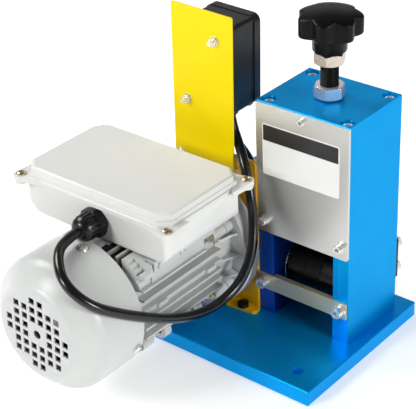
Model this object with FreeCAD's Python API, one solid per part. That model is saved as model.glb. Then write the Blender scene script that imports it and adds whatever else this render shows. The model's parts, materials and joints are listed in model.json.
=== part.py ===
import FreeCAD, Part
import math
import os

os.makedirs("parts", exist_ok=True)
V = FreeCAD.Vector

# ---------------------------------------------------------------- driving sizes (mm)
BASE_X, BASE_Y, BASE_T = 250.0, 170.0, 15.0        # base plate
TW_X0, TW_X1 = 16.0, 112.0                         # stripping head, left and right faces
TW_Y0, TW_Y1 = -7.0, 70.0                          # stripping head, front and back faces
SIDE_T = 16.0                                      # side plates
SIDE_TOP = 215.0                                   # top of the side plates
TOP_T = 14.0                                       # top plate
AX_X, AX_Y = 64.0, 31.5                            # pressure screw axis
ROLL_Z = 56.0                                      # feed roller axis height
ROLL_R = 25.5                                      # feed roller radius
BLADE_R = 26.0                                     # disc blade radius
BLADE_Z = 119.5                                    # disc blade axis height at rest
SCREW_R = 8.0                                      # M16 pressure screw
MX, MZ = -44.5, 86.0                               # motor and worm axis
FLANGE_R = 70.0                                    # 140 mm motor flange
FRAME_R = 61.0                                     # fan cover radius
WORM_M, WHEEL_Z, WORM_Q = 1.5, 30, 10              # worm module, wheel teeth, diameter factor
CORD_D = 7.2                                       # mains cord
MCORD_D = 8.8                                      # motor cable


# ---------------------------------------------------------------- helpers
def box(x0, x1, y0, y1, z0, z1):
    return Part.makeBox(x1 - x0, y1 - y0, z1 - z0, V(x0, y0, z0))


def cyl(ax, a, b, u, v, r):
    if ax == "x":
        return Part.makeCylinder(r, b - a, V(a, u, v), V(1, 0, 0))
    if ax == "y":
        return Part.makeCylinder(r, b - a, V(u, a, v), V(0, 1, 0))
    return Part.makeCylinder(r, b - a, V(u, v, a), V(0, 0, 1))


def ring(ax, a, b, u, v, ro, ri):
    return cyl(ax, a, b, u, v, ro).cut(cyl(ax, a - 1, b + 1, u, v, ri))


def rev(ax, u, v, prof):
    """Closed solid of revolution from (along, radius) points about an axis line."""
    pts = []
    for a, r in prof:
        if ax == "x":
            pts.append(V(a, u, v + r))
        elif ax == "y":
            pts.append(V(u + r, a, v))
        else:
            pts.append(V(u + r, v, a))
    w = Part.makePolygon(pts + [pts[0]])
    f = Part.Face(w)
    if ax == "x":
        return f.revolve(V(0, u, v), V(1, 0, 0), 360)
    if ax == "y":
        return f.revolve(V(u, 0, v), V(0, 1, 0), 360)
    return f.revolve(V(u, v, 0), V(0, 0, 1), 360)


def fix(s):
    """Outward-facing solid."""
    if s.Volume < 0:
        s = s.reversed()
    return s


def prism(pts, vec):
    w = Part.makePolygon([V(*p) for p in pts] + [V(*pts[0])])
    return fix(Part.Face(w).extrude(V(*vec)))


def hexp(ax, a, b, u, v, af, rot=0.0):
    R = af / math.sqrt(3.0)
    p = []
    for k in range(6):
        t = math.radians(rot + 60.0 * k)
        c, s = R * math.cos(t), R * math.sin(t)
        p.append({"x": (a, u + c, v + s), "y": (u + c, a, v + s), "z": (u + c, v + s, a)}[ax])
    vec = {"x": (b - a, 0, 0), "y": (0, b - a, 0), "z": (0, 0, b - a)}[ax]
    return prism(p, vec)


def nut(ax, a, b, u, v, af, hole, rot=0.0, both=True):
    """Hexagon nut with chamfered corners."""
    h = hexp(ax, a, b, u, v, af, rot)
    R = af / math.sqrt(3.0)
    c = (R - af / 2.0 * 0.985) * 0.55
    prof = [(a, 0), (a, R - c * 1.8 if both else R + 1), (a + c, R + 0.01 if both else R + 1), (b - c, R + 0.01), (b, R - c * 1.8), (b, 0)]
    h = h.common(fix(rev(ax, u, v, prof)))
    if hole:
        h = h.cut(cyl(ax, a - 1, b + 1, u, v, hole))
    return h


def fuse(*s):
    r = s[0]
    if len(s) > 1:
        r = r.fuse(list(s[1:]))
    return r.removeSplitter()


def cutall(s, tools):
    return s.cut(list(tools))


def rrect_prism(x0, x1, y0, y1, z0, z1, r):
    b = box(x0, x1, y0, y1, z0, z1)
    e = [q for q in b.Edges if abs(q.Vertexes[0].Point.z - q.Vertexes[-1].Point.z) > 1e-6]
    return b.makeFillet(r, e)


def place(shape, p, d):
    """Local +Z to direction d, local origin to p."""
    rot = FreeCAD.Rotation(V(0, 0, 1), V(*d))
    s = shape.copy()
    s.Placement = FreeCAD.Placement(V(*p), rot)
    return s


CAP = {4: (7.0, 4.0, 3.0), 5: (8.5, 5.0, 4.0), 6: (10.0, 6.0, 5.0), 8: (13.0, 8.0, 6.0)}
HEX = {4: (7.0, 2.8), 5: (8.0, 3.5), 6: (10.0, 4.0), 8: (13.0, 5.3)}


def cap_screw(p, d, m, L, washer=None):
    """Socket head cap screw. p is the underside of the head, d the way the head faces."""
    dk, k, s = CAP[m]
    head = fix(rev("z", 0, 0, [(0, 0), (0, dk / 2), (k - 0.5, dk / 2), (k, dk / 2 - 0.5), (k, 0)]))
    head = head.cut(hexp("z", k * 0.45, k + 1, 0, 0, s, 15))
    sh = cyl("z", -L, 0.2, 0, 0, m / 2.0)
    out = [place(fuse(head, sh), p, d)]
    if washer:
        ro, t = washer
        q = (p[0] - d[0] * t, p[1] - d[1] * t, p[2] - d[2] * t)
        out.append(place(ring("z", 0, t, 0, 0, ro, m / 2.0), q, d))
    return out


def hex_bolt(p, d, m, L, washer=None, rot=0.0, hole=False):
    af, k = HEX[m]
    head = nut("z", 0, k, 0, 0, af, 0, rot)
    sh = cyl("z", -L, 0.2, 0, 0, m / 2.0)
    out = [place(fuse(head, sh), p, d)]
    if washer:
        ro, t = washer
        q = (p[0] - d[0] * t, p[1] - d[1] * t, p[2] - d[2] * t)
        out.append(place(ring("z", 0, t, 0, 0, ro, m / 2.0), q, d))
    return out


def pan_screw(p, d, m, L, dk=None, washer=None):
    dk = dk or m * 1.95
    k = m * 0.62
    head = fix(rev("z", 0, 0, [(0, 0), (0, dk / 2), (k * 0.45, dk / 2), (k * 0.85, dk / 2 * 0.72), (k, dk / 2 * 0.35), (k, 0)]))
    w, dp = m * 0.24, k * 0.55
    head = cutall(head, [box(-w / 2, w / 2, -dk * 0.27, dk * 0.27, k - dp, k + 1), box(-dk * 0.27, dk * 0.27, -w / 2, w / 2, k - dp, k + 1)])
    sh = cyl("z", -L, 0.1, 0, 0, m / 2.0)
    out = [place(fuse(head, sh), p, d)]
    if washer:
        ro, t = washer
        q = (p[0] - d[0] * t, p[1] - d[1] * t, p[2] - d[2] * t)
        out.append(place(ring("z", 0, t, 0, 0, ro, m / 2.0), q, d))
    return out


def group(lst):
    return Part.makeCompound(lst)


N = {}

# ---------------------------------------------------------------- base plate
BOLT_HOLES = [(100.0, -65.0), (-100.0, -65.0), (-100.0, 65.0)]
SIDE_SCREWS = [(24.0, 10.0), (24.0, 53.0), (104.0, 10.0), (104.0, 53.0)]
GB_SCREWS = [(-66.0, 6.0), (-66.0, 58.0), (-23.0, 6.0), (-23.0, 58.0)]
BRK_BOLT = (3.4, -17.4)
base = box(-BASE_X / 2, BASE_X / 2, -BASE_Y / 2, BASE_Y / 2, 0, BASE_T)
base = base.makeChamfer(0.8, base.Edges)
cuts = [cyl("z", -1, 16, x, y, 5.0) for x, y in BOLT_HOLES]
cuts += [cyl("z", -1, 16, x, y, 4.0) for x, y in SIDE_SCREWS] + [cyl("z", -1, 9.0, x, y, 7.0) for x, y in SIDE_SCREWS]
cuts += [cyl("z", -1, 16, x, y, 3.0) for x, y in GB_SCREWS] + [cyl("z", -1, 7.0, x, y, 5.5) for x, y in GB_SCREWS]
cuts += [cyl("z", 3.0, 16, BRK_BOLT[0], BRK_BOLT[1], 3.0)]
N["base_plate"] = cutall(base, cuts)
s = []
for x, y in SIDE_SCREWS:
    s += cap_screw((x, y, 9.0), (0, 0, -1), 8, 26)
for x, y in GB_SCREWS:
    s += cap_screw((x, y, 7.0), (0, 0, -1), 6, 16)
N["base_screws"] = group(s)

# ---------------------------------------------------------------- stripping head
GY0, GY1 = AX_Y - 12.0, AX_Y + 12.0                 # guide grooves
COVER_SCREWS = [(24.0, 113.8), (104.6, 113.6)]
BAR_SCREWS = [(22.8, 48.9), (105.2, 49.2)]
GUIDE_BOLTS = [(21.5, 52.0), (21.5, 77.0), (106.5, 52.0), (106.5, 77.0)]
TOP_Y = (0.0, 62.8)


def side_plate(x0, x1, inner):
    p = box(x0, x1, TW_Y0, TW_Y1, BASE_T, SIDE_TOP)
    xc = (x0 + x1) / 2.0
    c = []
    if inner > 0:
        c.append(box(x1 - 4.0, x1 + 1, GY0, GY1, 84.0, SIDE_TOP + 1))
        c.append(cyl("x", x1 - 9.0, x1 + 1, AX_Y, ROLL_Z, 16.0))
        c.append(cyl("x", x0 - 1, x1, AX_Y, ROLL_Z, 12.0))
    else:
        c.append(box(x0 - 1, x0 + 4.0, GY0, GY1, 84.0, SIDE_TOP + 1))
        c.append(cyl("x", x0 - 1, x0 + 9.0, AX_Y, ROLL_Z, 16.0))
        c.append(cyl("x", x0 + 8, x0 + 10.0, AX_Y, ROLL_Z, 12.0))
    for x, y in SIDE_SCREWS:
        if x0 < x < x1:
            c.append(cyl("z", BASE_T - 1, 36.0, x, y, 4.0))
    for y in TOP_Y:
        c.append(cyl("z", 200.0, SIDE_TOP + 1, xc, y, 3.0))
    for x, z in COVER_SCREWS:
        if x0 < x < x1:
            c.append(cyl("y", TW_Y0 - 1, TW_Y0 + 11.0, x, z, 2.5))
    for x, z in BAR_SCREWS:
        if x0 < x < x1:
            c.append(cyl("y", TW_Y0 - 1, TW_Y0 + 12.0, x, z, 3.0))
    for x, z in GUIDE_BOLTS:
        if x0 < x < x1:
            c.append(cyl("y", TW_Y1 - 12.0, TW_Y1 + 1, x, z, 3.0))
    return cutall(p, c)


N["left_side_plate"] = side_plate(TW_X0, TW_X0 + SIDE_T, 1)
N["right_side_plate"] = side_plate(TW_X1 - SIDE_T, TW_X1, -1)
tp = box(TW_X0, TW_X1, TW_Y0, TW_Y1, SIDE_TOP, SIDE_TOP + TOP_T)
c = [cyl("z", SIDE_TOP - 1, SIDE_TOP + TOP_T + 1, AX_X, AX_Y, SCREW_R + 0.08)]
s = []
for x in (24.0, 104.0):
    for y in TOP_Y:
        c += [cyl("z", 210, 230, x, y, 3.3), cyl("z", 220.5, 230, x, y, 6.1)]
        s += cap_screw((x, y, 220.5), (0, 0, 1), 6, 19.5)
c.append(cyl("y", TW_Y0 - 1, TW_Y0 + 7.0, 65.0, 222.0, 2.0))
N["top_plate"] = cutall(tp, c)
N["top_plate_screws"] = group(s)

cv = box(TW_X0, TW_X1, -9.0, -7.0, 101.5, 228.0)
e = [q for q in cv.Edges if abs(q.Vertexes[0].Point.y - q.Vertexes[-1].Point.y) > 1 and q.Vertexes[0].Point.z < 110]
cv = cv.makeFillet(2.0, e)
cv = cutall(cv, [cyl("y", -10, -6, 65.0, 222.0, 2.2)] + [cyl("y", -10, -6, x, z, 2.8) for x, z in COVER_SCREWS])
N["front_cover"] = cv
s = cap_screw((65.0, -9.0, 222.0), (0, -1, 0), 4, 8)
for x, z in COVER_SCREWS:
    s += cap_screw((x, -10.0, z), (0, -1, 0), 5, 12, (5.0, 1.0))
cover_screws = s

bar = box(13.5, 111.2, -9.5, -7.0, 41.0, 56.5)
bar = fuse(bar, box(32.3, 95.4, -7.0, -3.6, 54.4, 56.9), box(32.3, 95.4, -9.5, -7.0, 54.4, 56.9))
bar = cutall(bar, [cyl("y", -10, -6, x, z, 3.2) for x, z in BAR_SCREWS])
N["front_bar"] = bar
s = []
for x, z in BAR_SCREWS:
    s += cap_screw((x, -11.0, z), (0, -1, 0), 6, 14, (6.0, 1.5))
N["front_screws"] = group(cover_screws + s)

# inlet guide plate on the back face
gp = prism([(16.0, 70.0, 45.0), (21.0, 70.0, 40.0), (107.0, 70.0, 40.0), (112.0, 70.0, 45.0), (112.0, 70.0, 83.0), (107.0, 70.0, 88.0),
            (98.0, 70.0, 88.0), (98.0, 70.0, 104.0), (92.0, 70.0, 110.0), (36.0, 70.0, 110.0), (30.0, 70.0, 104.0), (30.0, 70.0, 88.0), (21.0, 70.0, 88.0), (16.0, 70.0, 83.0)], (0, 3, 0))
GUIDE_HOLES = [(64.0, 91.5, 9.0)]
gp = cutall(gp, [cyl("y", 69, 74, x, z, r) for x, z, r in GUIDE_HOLES] + [cyl("y", 69, 74, x, z, 3.3) for x, z in GUIDE_BOLTS])
N["inlet_guide_plate"] = gp
s = []
for x, z in GUIDE_BOLTS:
    s += hex_bolt((x, 75.6, z), (0, 1, 0), 6, 14, (5.4, 2.6), 8)
N["inlet_guide_bolts"] = group(s)

# ---------------------------------------------------------------- feed roller and its bearings
b1 = ring("x", 23.0, 32.0, AX_Y, ROLL_Z, 16.0, 7.55)
b2 = ring("x", 96.0, 105.0, AX_Y, ROLL_Z, 16.0, 7.55)
gro = [ring("x", a, b, AX_Y, ROLL_Z, 13.2, 10.2) for a, b in ((31.4, 33.0), (22.0, 23.6), (95.0, 96.6), (104.4, 106.0))]
head_brg = [b1.cut(gro), b2.cut(gro)]
rshaft = fuse(cyl("x", -73.0, 20.0, AX_Y, ROLL_Z, 7.0), cyl("x", 20.0, 32.6, AX_Y, ROLL_Z, 7.5),
                         cyl("x", 32.6, 95.4, AX_Y, ROLL_Z, 10.0), cyl("x", 95.4, 104.6, AX_Y, ROLL_Z, 7.5))
prof = [(37.0, 10.0), (37.0, 24.7), (37.8, 25.5), (54.3, 25.5), (54.6, 25.2), (54.6, 25.0), (70.0, 25.0), (70.4, 22.5), (71.4, 22.5), (71.8, 25.3), (72.0, 25.5), (90.2, 25.5), (91.0, 24.7), (91.0, 10.0)]
roller = fix(rev("x", AX_Y, ROLL_Z, prof))
kn = []
for k in range(60):
    t = math.radians(6.0 * k)
    kn.append(cyl("x", 54.7, 69.9, AX_Y + 25.35 * math.cos(t), ROLL_Z + 25.35 * math.sin(t), 0.75))
roller = roller.cut(kn)
N["feed_roller"] = roller
N["roller_shaft"] = group([rshaft, fix(rev("x", AX_Y, ROLL_Z, [(32.9, 10.0), (32.9, 24.6), (33.3, 25.0), (34.3, 25.0), (34.6, 24.6), (34.6, 19.0), (37.0, 19.0), (37.0, 10.0)])),
                             fix(rev("x", AX_Y, ROLL_Z, [(91.0, 10.0), (91.0, 19.0), (93.4, 19.0), (93.4, 24.6), (93.7, 25.0), (94.7, 25.0), (95.1, 24.6), (95.1, 10.0)]))])

# ---------------------------------------------------------------- blade carriage
CB, CT = 97.0, 160.0                                # bottom and top at rest
car = box(32.4, 95.6, 16.0, 47.0, 142.0, CT)
car = fuse(car, box(32.4, 44.0, 16.0, 47.0, CB, 142.0), box(84.0, 95.6, 16.0, 47.0, CB, 142.0),
           box(28.2, 32.4, GY0 + 0.2, GY1 - 0.2, CB, CT), box(95.6, 99.8, GY0 + 0.2, GY1 - 0.2, CB, CT))
car = cutall(car, [cyl("x", 36.0, 92.0, AX_Y, BLADE_Z, 7.5), box(60.0, 68.0, AX_Y - 28, AX_Y + 28, 141.0, 149.0),
                   cyl("z", 151.5, CT + 1, AX_X, AX_Y, 11.0), cyl("x", 27, 37, AX_Y, BLADE_Z, 3.0), cyl("x", 91, 101, AX_Y, BLADE_Z, 3.0)])
N["blade_carriage"] = car
N["blade_axle"] = group([cyl("x", 36.0, 92.0, AX_Y, BLADE_Z, 7.5), ring("x", 44.0, 53.7, AX_Y, BLADE_Z, 11.0, 7.5), ring("x", 74.3, 84.0, AX_Y, BLADE_Z, 11.0, 7.5)])
N["blade_wheel"] = fix(rev("x", AX_Y, BLADE_Z, [(54.0, 7.55), (54.0, 14.0), (61.0, 14.0), (61.0, 18.0), (63.0, 18.0), (63.0, BLADE_R - 2.6), (63.95, BLADE_R), (64.05, BLADE_R),
                                                (65.0, BLADE_R - 2.6), (65.0, 18.0), (67.0, 18.0), (67.0, 14.0), (74.0, 14.0), (74.0, 7.55)]))
N["thrust_collar"] = ring("z", 155.8, CT, AX_X, AX_Y, 11.0, 8.4)

# ---------------------------------------------------------------- pressure screw, nuts and star knob
N["pressure_screw"] = fuse(cyl("z", 151.8, 155.5, AX_X, AX_Y, 10.5), cyl("z", 155.0, 291.7, AX_X, AX_Y, SCREW_R))
NUT_ROT = -68.2
N["lock_nut"] = nut("z", 230.2, 241.0, AX_X, AX_Y, 24.0, SCREW_R + 0.05, NUT_ROT)
N["knob_nut"] = nut("z", 261.0, 271.0, AX_X, AX_Y, 24.0, SCREW_R, NUT_ROT)
hub = fix(rev("z", AX_X, AX_Y, [(271.0, 0), (271.0, 12.3), (273.2, 14.8), (290.0, 14.8), (290.0, 0)]))
lob = cyl("z", 287.6, 312.0, AX_X, AX_Y, 21.0)
for k in range(7):
    t = math.radians(-69.7 + 360.0 / 7.0 * k)
    lob = lob.fuse(cyl("z", 287.6, 312.0, AX_X + 20.6 * math.cos(t), AX_Y + 20.6 * math.sin(t), 7.4))
val = [cyl("z", 280.0, 315.0, AX_X + 28.2 * math.cos(math.radians(-69.7 + 360.0 / 7.0 * (k + 0.5))), AX_Y + 28.2 * math.sin(math.radians(-69.7 + 360.0 / 7.0 * (k + 0.5))), 5.5) for k in range(7)]
lob = lob.cut(val).removeSplitter()
dome_prof = [(287.6, 0), (287.6, 26.2), (289.2, 28.0), (302.8, 28.0), (303.6, 27.3), (305.4, 23.2), (306.7, 19.5), (308.1, 15.0), (309.2, 10.0), (309.8, 5.0), (310.0, 0)]
lob = lob.common(fix(rev("z", AX_X, AX_Y, dome_prof)))
knob = hub.fuse([lob])
knob = knob.cut(cyl("z", 260.0, 291.7, AX_X, AX_Y, SCREW_R)).removeSplitter()
N["star_knob"] = knob

# ---------------------------------------------------------------- worm gearbox
GBX0, GBX1 = -72.0, -17.0
GX = (GBX0 + GBX1) / 2.0
WC = MX                                             # wheel centre plane in X
body = box(GBX0, GBX1, 0.0, 63.0, BASE_T, 104.0)
e = [q for q in body.Edges if abs(q.Vertexes[0].Point.x - q.Vertexes[-1].Point.x) > 1 and q.Vertexes[0].Point.z > 50]
body = body.makeFillet(16.0, e)
body = fuse(body, cyl("y", -7.0, 71.5, MX, MZ, 24.0), cyl("x", GBX0, GBX1, AX_Y, ROLL_Z, 33.0).common(box(-80, 0, -7, 72, BASE_T, 113)),
            box(-76.0, -13.0, -4.0, 67.0, BASE_T, 23.0), cyl("y", -20.0, 0.0, MX, MZ, 21.0))
cav = fuse(cyl("x", WC - 12.0, WC + 12.0, AX_Y, ROLL_Z, 26.5), cyl("y", 10.0, 53.0, MX, MZ, 13.0))
cuts = [cav, cyl("x", GBX0 - 1, GBX1 + 1, AX_Y, ROLL_Z, 22.0), cyl("y", -21.0, 73.0, MX, MZ, 12.5), cyl("y", 53.0, 62.0, MX, MZ, 16.0), cyl("y", -6.0, 10.0, MX, MZ, 16.0),
        cyl("x", GBX1, GBX1 + 5, AX_Y, ROLL_Z, 33.5)]
cuts = cuts[:5]
cuts += [cyl("z", 14.0, 24.0, x, y, 3.0) for x, y in GB_SCREWS]
GC = [(AX_Y + 27.0 * math.cos(math.radians(45 + 90 * k)), ROLL_Z + 27.0 * math.sin(math.radians(45 + 90 * k))) for k in range(4)]
cuts += [cyl("x", GBX0 - 1, GBX0 + 7, y, z, 2.5) for y, z in GC] + [cyl("x", GBX1 - 7, GBX1 + 1, y, z, 2.5) for y, z in GC]
gbh = cutall(body, cuts)
fl = cyl("y", -29.0, -20.0, MX, MZ, FLANGE_R)
fl = fl.cut([cyl("y", -30.0, -19.0, MX, MZ, 12.5)] + [cyl("y", -30.0, -19.0, MX + 57.5 * math.cos(math.radians(45 + 90 * k)), MZ + 57.5 * math.sin(math.radians(45 + 90 * k)), 4.5) for k in range(4)])
gbh = gbh.fuse(fl)
N["gearbox_housing"] = gbh.removeSplitter()
rightc = fuse(ring("x", GBX1, GBX1 + 4.0, AX_Y, ROLL_Z, 33.0, 7.4), ring("x", GBX1 - 4.0, GBX1, AX_Y, ROLL_Z, 22.0, 16.0), ring("x", GBX1 + 4.0, GBX1 + 6.0, AX_Y, ROLL_Z, 15.0, 7.4))
leftc = fuse(cyl("x", GBX0 - 4.0, GBX0, AX_Y, ROLL_Z, 33.0), ring("x", GBX0, GBX0 + 4.0, AX_Y, ROLL_Z, 22.0, 16.0)).cut(cyl("x", -74.0, -70.0, AX_Y, ROLL_Z, 7.6))
rightc = rightc.cut([cyl("x", GBX1 - 1, GBX1 + 5, y, z, 2.5) for y, z in GC])
leftc = leftc.cut([cyl("x", GBX0 - 5, GBX0 + 1, y, z, 2.5) for y, z in GC])
gcov = [rightc, leftc]
s = []
for y, z in GC:
    s += cap_screw((GBX1 + 4.0, y, z), (1, 0, 0), 5, 10)
    s += cap_screw((GBX0 - 4.0, y, z), (-1, 0, 0), 5, 10)
N["gearbox_cover_screws"] = group(s)
N["shaft_bearings"] = group(head_brg + [ring("x", GBX0 + 4.0, GBX0 + 13.0, AX_Y, ROLL_Z, 22.0, 10.05), ring("x", GBX1 - 13.0, GBX1 - 4.0, AX_Y, ROLL_Z, 22.0, 10.05),
                               ring("y", 53.0, 62.0, MX, MZ, 16.0, 7.55), ring("y", -2.0, 7.0, MX, MZ, 16.0, 10.05)])
N["gearbox_covers"] = group(gcov + [fuse(cyl("y", 62.0, 71.5, MX, MZ, 12.4), cyl("y", 71.5, 73.0, MX, MZ, 18.0))])

# worm wheel: 30 teeth set at the worm's lead angle, on a bronze rim and hub
lead = math.degrees(math.atan(1.0 / WORM_Q))
pr = WORM_M * WHEEL_Z / 2.0
rim = cyl("x", WC - 6.0, WC + 6.0, AX_Y, ROLL_Z, pr - 1.25 * WORM_M)
hubw = cyl("x", GBX0 + 13.3, GBX1 - 13.3, AX_Y, ROLL_Z, 13.0)
hube = cyl("x", GBX0 + 4.3, GBX1 - 4.3, AX_Y, ROLL_Z, 10.0)
r0, r1 = pr - 1.25 * WORM_M - 0.4, pr + WORM_M * 0.9
w0, w1 = 1.45, 0.62
teeth = []
for k in range(WHEEL_Z):
    ang = 360.0 / WHEEL_Z * (k + 0.5)
    t = prism([(-6.0, -w0, r0), (-6.0, w0, r0), (-6.0, w1, r1), (-6.0, -w1, r1)], (12.0, 0, 0))
    t.rotate(V(0, 0, 0), V(0, 0, 1), -lead)
    t.rotate(V(0, 0, 0), V(1, 0, 0), ang)
    t.translate(V(WC, AX_Y, ROLL_Z))
    teeth.append(t)
wheel = rim.fuse([hubw, hube] + teeth).common(cyl("x", GBX0, GBX1, AX_Y, ROLL_Z, pr + WORM_M * 0.9))
wheel = wheel.common(box(GBX0, GBX1, -10, 80, 0, 200))
wheel = wheel.cut(cyl("x", GBX0 - 10, GBX1 + 10, AX_Y, ROLL_Z, 7.0)).removeSplitter()
N["worm_wheel"] = wheel

# worm: one start, right-hand thread of trapezoid section on its root cylinder
px = math.pi * WORM_M
wr = WORM_M * WORM_Q / 2.0
Y0w, Y1w = AX_Y - 14.0, AX_Y + 14.0
rr0, rr1 = wr - 1.2 * WORM_M, wr + WORM_M * 0.9
core = fuse(cyl("y", Y0w - 4.0, Y1w + 4.0, MX, MZ, rr0), cyl("y", Y1w + 4.0, 62.0, MX, MZ, 7.5), cyl("y", -24.0, Y0w - 4.0, MX, MZ, 10.0))
core = core.cut(cyl("y", -25.0, -5.0, MX, MZ, 5.5))
hx = Part.makeHelix(px, (Y1w - Y0w), wr)
a0, a1 = 1.15, 0.45
prof = Part.makePolygon([V(rr0 - 0.3, 0, -a0), V(rr1, 0, -a1), V(rr1, 0, a1), V(rr0 - 0.3, 0, a0), V(rr0 - 0.3, 0, -a0)])
thread = Part.Wire(hx).makePipeShell([prof], True, True)
thread = fix(thread)
WORM_PHASE = 100.47                                 # thread sits in a wheel gap at rest
thread.rotate(V(0, 0, 0), V(0, 0, 1), WORM_PHASE)
thread.rotate(V(0, 0, 0), V(1, 0, 0), -90)
thread.translate(V(MX, Y0w, MZ))
worm = core.fuse(thread)
N["worm_shaft"] = worm

# ---------------------------------------------------------------- motor
mf = ring("y", -166.0, -47.0, MX, MZ, 53.0, 48.0)
fins = []
for dz in (27.2, 17.7, 7.7, -1.8, -10.3, -19.3):
    fins.append(box(MX - 58.5, MX + 58.5, -160.0, -58.5, MZ + dz - 0.9, MZ + dz + 0.9))
vf = [box(MX + dx - 1.2, MX + dx + 1.2, -160.0, -60.0, MZ - 60.0, MZ - 40.0).common(cyl("y", -161.0, -59.0, MX, MZ, 59.5)) for dx in (-30.0, -20.0, -10.0, 0.0, 10.0, 20.0, 30.0)]
vf += [box(MX + dx - 1.2, MX + dx + 1.2, -160.0, -63.0, MZ + 40.0, MZ + 51.5) for dx in (-30.0, -20.0, -10.0, 0.0, 10.0, 20.0, 30.0)]
fins += vf
# seat of the terminal box: a riser set back behind the upright fins, a stepped shoulder and a side flange
# with V notches and small cast pips on the side away from the wall
pad = [box(MX - 40.0, MX + 40.0, -128.0, -66.0, MZ + 36.0, 137.5), box(MX + 36.0, MX + 42.0, -160.0, -66.0, MZ + 34.0, 137.5),
       box(MX + 41.9, MX + 46.5, -160.0, -66.0, MZ + 28.0, 134.4), box(MX + 46.4, MX + 51.0, -160.0, -66.0, MZ + 28.0, 131.0),
       box(MX + 50.9, MX + 55.0, -160.0, -148.0, MZ + 37.5, 127.0), box(MX + 54.5, MX + 61.0, -160.0, -148.0, 125.5, 129.2),
       box(MX + 40.0, MX + 61.0, -152.0, -88.0, 125.5, 137.5), box(MX + 35.0, MX + 55.5, -146.0, -63.0, MZ + 28.0, MZ + 39.7)]
notch, pips = [], []
for y in (-115.5, -149.5):
    e_ = MX + 61.0
    notch.append(prism([(e_ - 9.0, y - 2.2, 138.0), (e_ - 9.0, y + 2.0, 138.0), (e_ - 9.0, y + 0.6, 127.0)], (11.0, 0, 0)))
    pips.append(cyl("x", e_ - 3.0, e_ + 1.4, y + 9.0, 131.5, 3.2))
for sx in (-1.0, 1.0):
    for y in (-138.6, -74.7):
        a_, b_ = sorted((MX + sx * 52.0, MX + sx * 60.4))
        pips += [box(a_, b_, y - 4.5, y + 4.5, 90.7, 94.7), cyl("x", a_, b_, y - 4.5, 92.7, 2.0), cyl("x", a_, b_, y + 4.5, 92.7, 2.0)]
# eyes for foot brackets
EYES = [(MX + sx * 43.0, y0, y1) for sx in (-1.0, 1.0) for y0, y1 in ((-128.0, -120.0), (-84.5, -76.5))]
eyes = [cyl("y", y0, y1, x, 51.0, 7.5) for x, y0, y1 in EYES]
BOSS = [(MX + 58.0 * math.cos(math.radians(a)), MZ + 58.0 * math.sin(math.radians(a))) for a in (31.0, -31.0, 149.0, 211.0)]
bos = []
for bx, bz in BOSS:
    ix, iz = MX + (bx - MX) * 0.88, MZ + (bz - MZ) * 0.88
    bos += [cyl("y", -63.0, -47.0, bx, bz, 5.2), cyl("y", -63.0, -47.0, ix, iz, 5.2), cyl("y", -160.0, -146.0, bx, bz, 4.6), cyl("y", -160.0, -146.0, ix, iz, 4.6)]
mf = mf.fuse(fins + pad + pips + eyes)
mf = mf.cut([cyl("y", -78.0, -62.9, bx, bz, 6.0) for bx, bz in BOSS] + [box(MX + 44.5, MX + 60.0, -78.0, -62.9, MZ + 24.0, MZ + 36.5)] + notch).fuse(bos)
mf = mf.cut([box(MX - 20.0, MX + 20.0, -150.0, -50.0, 137.5, 142.0), cyl("y", -167.0, -46.0, MX, MZ, 48.0), cyl("z", 120.0, 140.0, MX, -100.0, 10.0)] + [cyl("y", y0 - 1.0, y1 + 1.0, x, 51.0, 3.0) for x, y0, y1 in EYES]
            + [cyl("y", -64.0, -46.0, bx, bz, 2.0) for bx, bz in BOSS])
N["motor_frame"] = mf

st = ring("y", -150.0, -86.0, MX, MZ, 48.0, 27.2)
st = st.cut([box(MX + 30.0, MX + 40.0, -151.0, -85.0, MZ - 1.6, MZ + 1.6).rotated(V(MX, 0, MZ), V(0, 1, 0), 15.0 * k) if hasattr(Part.Shape, "rotated") else None for k in range(24)])
N["stator_core"] = st


def torus_ring(y0, y1, ro, ri):
    return fix(rev("y", MX, MZ, [(y0, ri + 2), (y0 + 2, ri), (y1 - 2, ri), (y1, ri + 2), (y1, ro - 2), (y1 - 2, ro), (y0 + 2, ro), (y0, ro - 2)]))


N["stator_windings"] = group([torus_ring(-162.0, -150.0, 44.0, 30.0), torus_ring(-86.0, -74.0, 44.0, 30.0)])

# drive-end shield with ribs and the 140 mm flange
des = fix(rev("y", MX, MZ, [(-51.0, 46.0), (-51.0, 48.0), (-47.0, 48.0), (-47.0, 53.0), (-38.0, 54.0), (-38.0, FLANGE_R), (-29.0, FLANGE_R), (-29.0, 12.0), (-38.0, 12.0), (-38.0, 17.5), (-49.0, 17.5), (-49.0, 22.0), (-42.0, 24.0), (-42.0, 44.0)]))
ribs = []
for k in range(19):
    rb = prism([(MX + 50.5, -39.0, MZ - 0.9), (MX + 66.0, -39.0, MZ - 0.9), (MX + 62.0, -43.0, MZ - 0.9), (MX + 55.5, -58.0, MZ - 0.9), (MX + 53.5, -58.0, MZ - 0.9), (MX + 53.5, -46.0, MZ - 0.9), (MX + 50.5, -46.0, MZ - 0.9)], (0, 0, 1.8))
    rb.rotate(V(MX, 0, MZ), V(0, 1, 0), -(18.95 * k + 3.3))
    rb = rb.cut([cyl("y", -70.0, -46.4, bx, bz, 8.0) for bx, bz in BOSS] + [cyl("y", -70.0, -46.4, MX + (bx - MX) * 0.88, MZ + (bz - MZ) * 0.88, 6.0) for bx, bz in BOSS] + [box(-135, 40, -70.0, -51.3, 136.9, 178.0), box(-135, 45, -70.0, -46.0, 171.0, 178.0)])
    if rb.Volume > 1.0:
        ribs.append(rb)
eb = [cyl("y", -46.7, -37.2, bx, bz, 5.6) for bx, bz in BOSS]
for rb in ribs + eb:
    des = des.fuse(rb)
for k in range(4):
    des = des.cut(cyl("y", -39.5, -28.0, MX + 57.5 * math.cos(math.radians(45 + 90 * k)), MZ + 57.5 * math.sin(math.radians(45 + 90 * k)), 4.5))
for bx, bz in BOSS:
    des = des.cut(cyl("y", -48.0, -38.4, bx, bz, 2.0))
N["drive_end_shield"] = des
s = []
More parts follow.
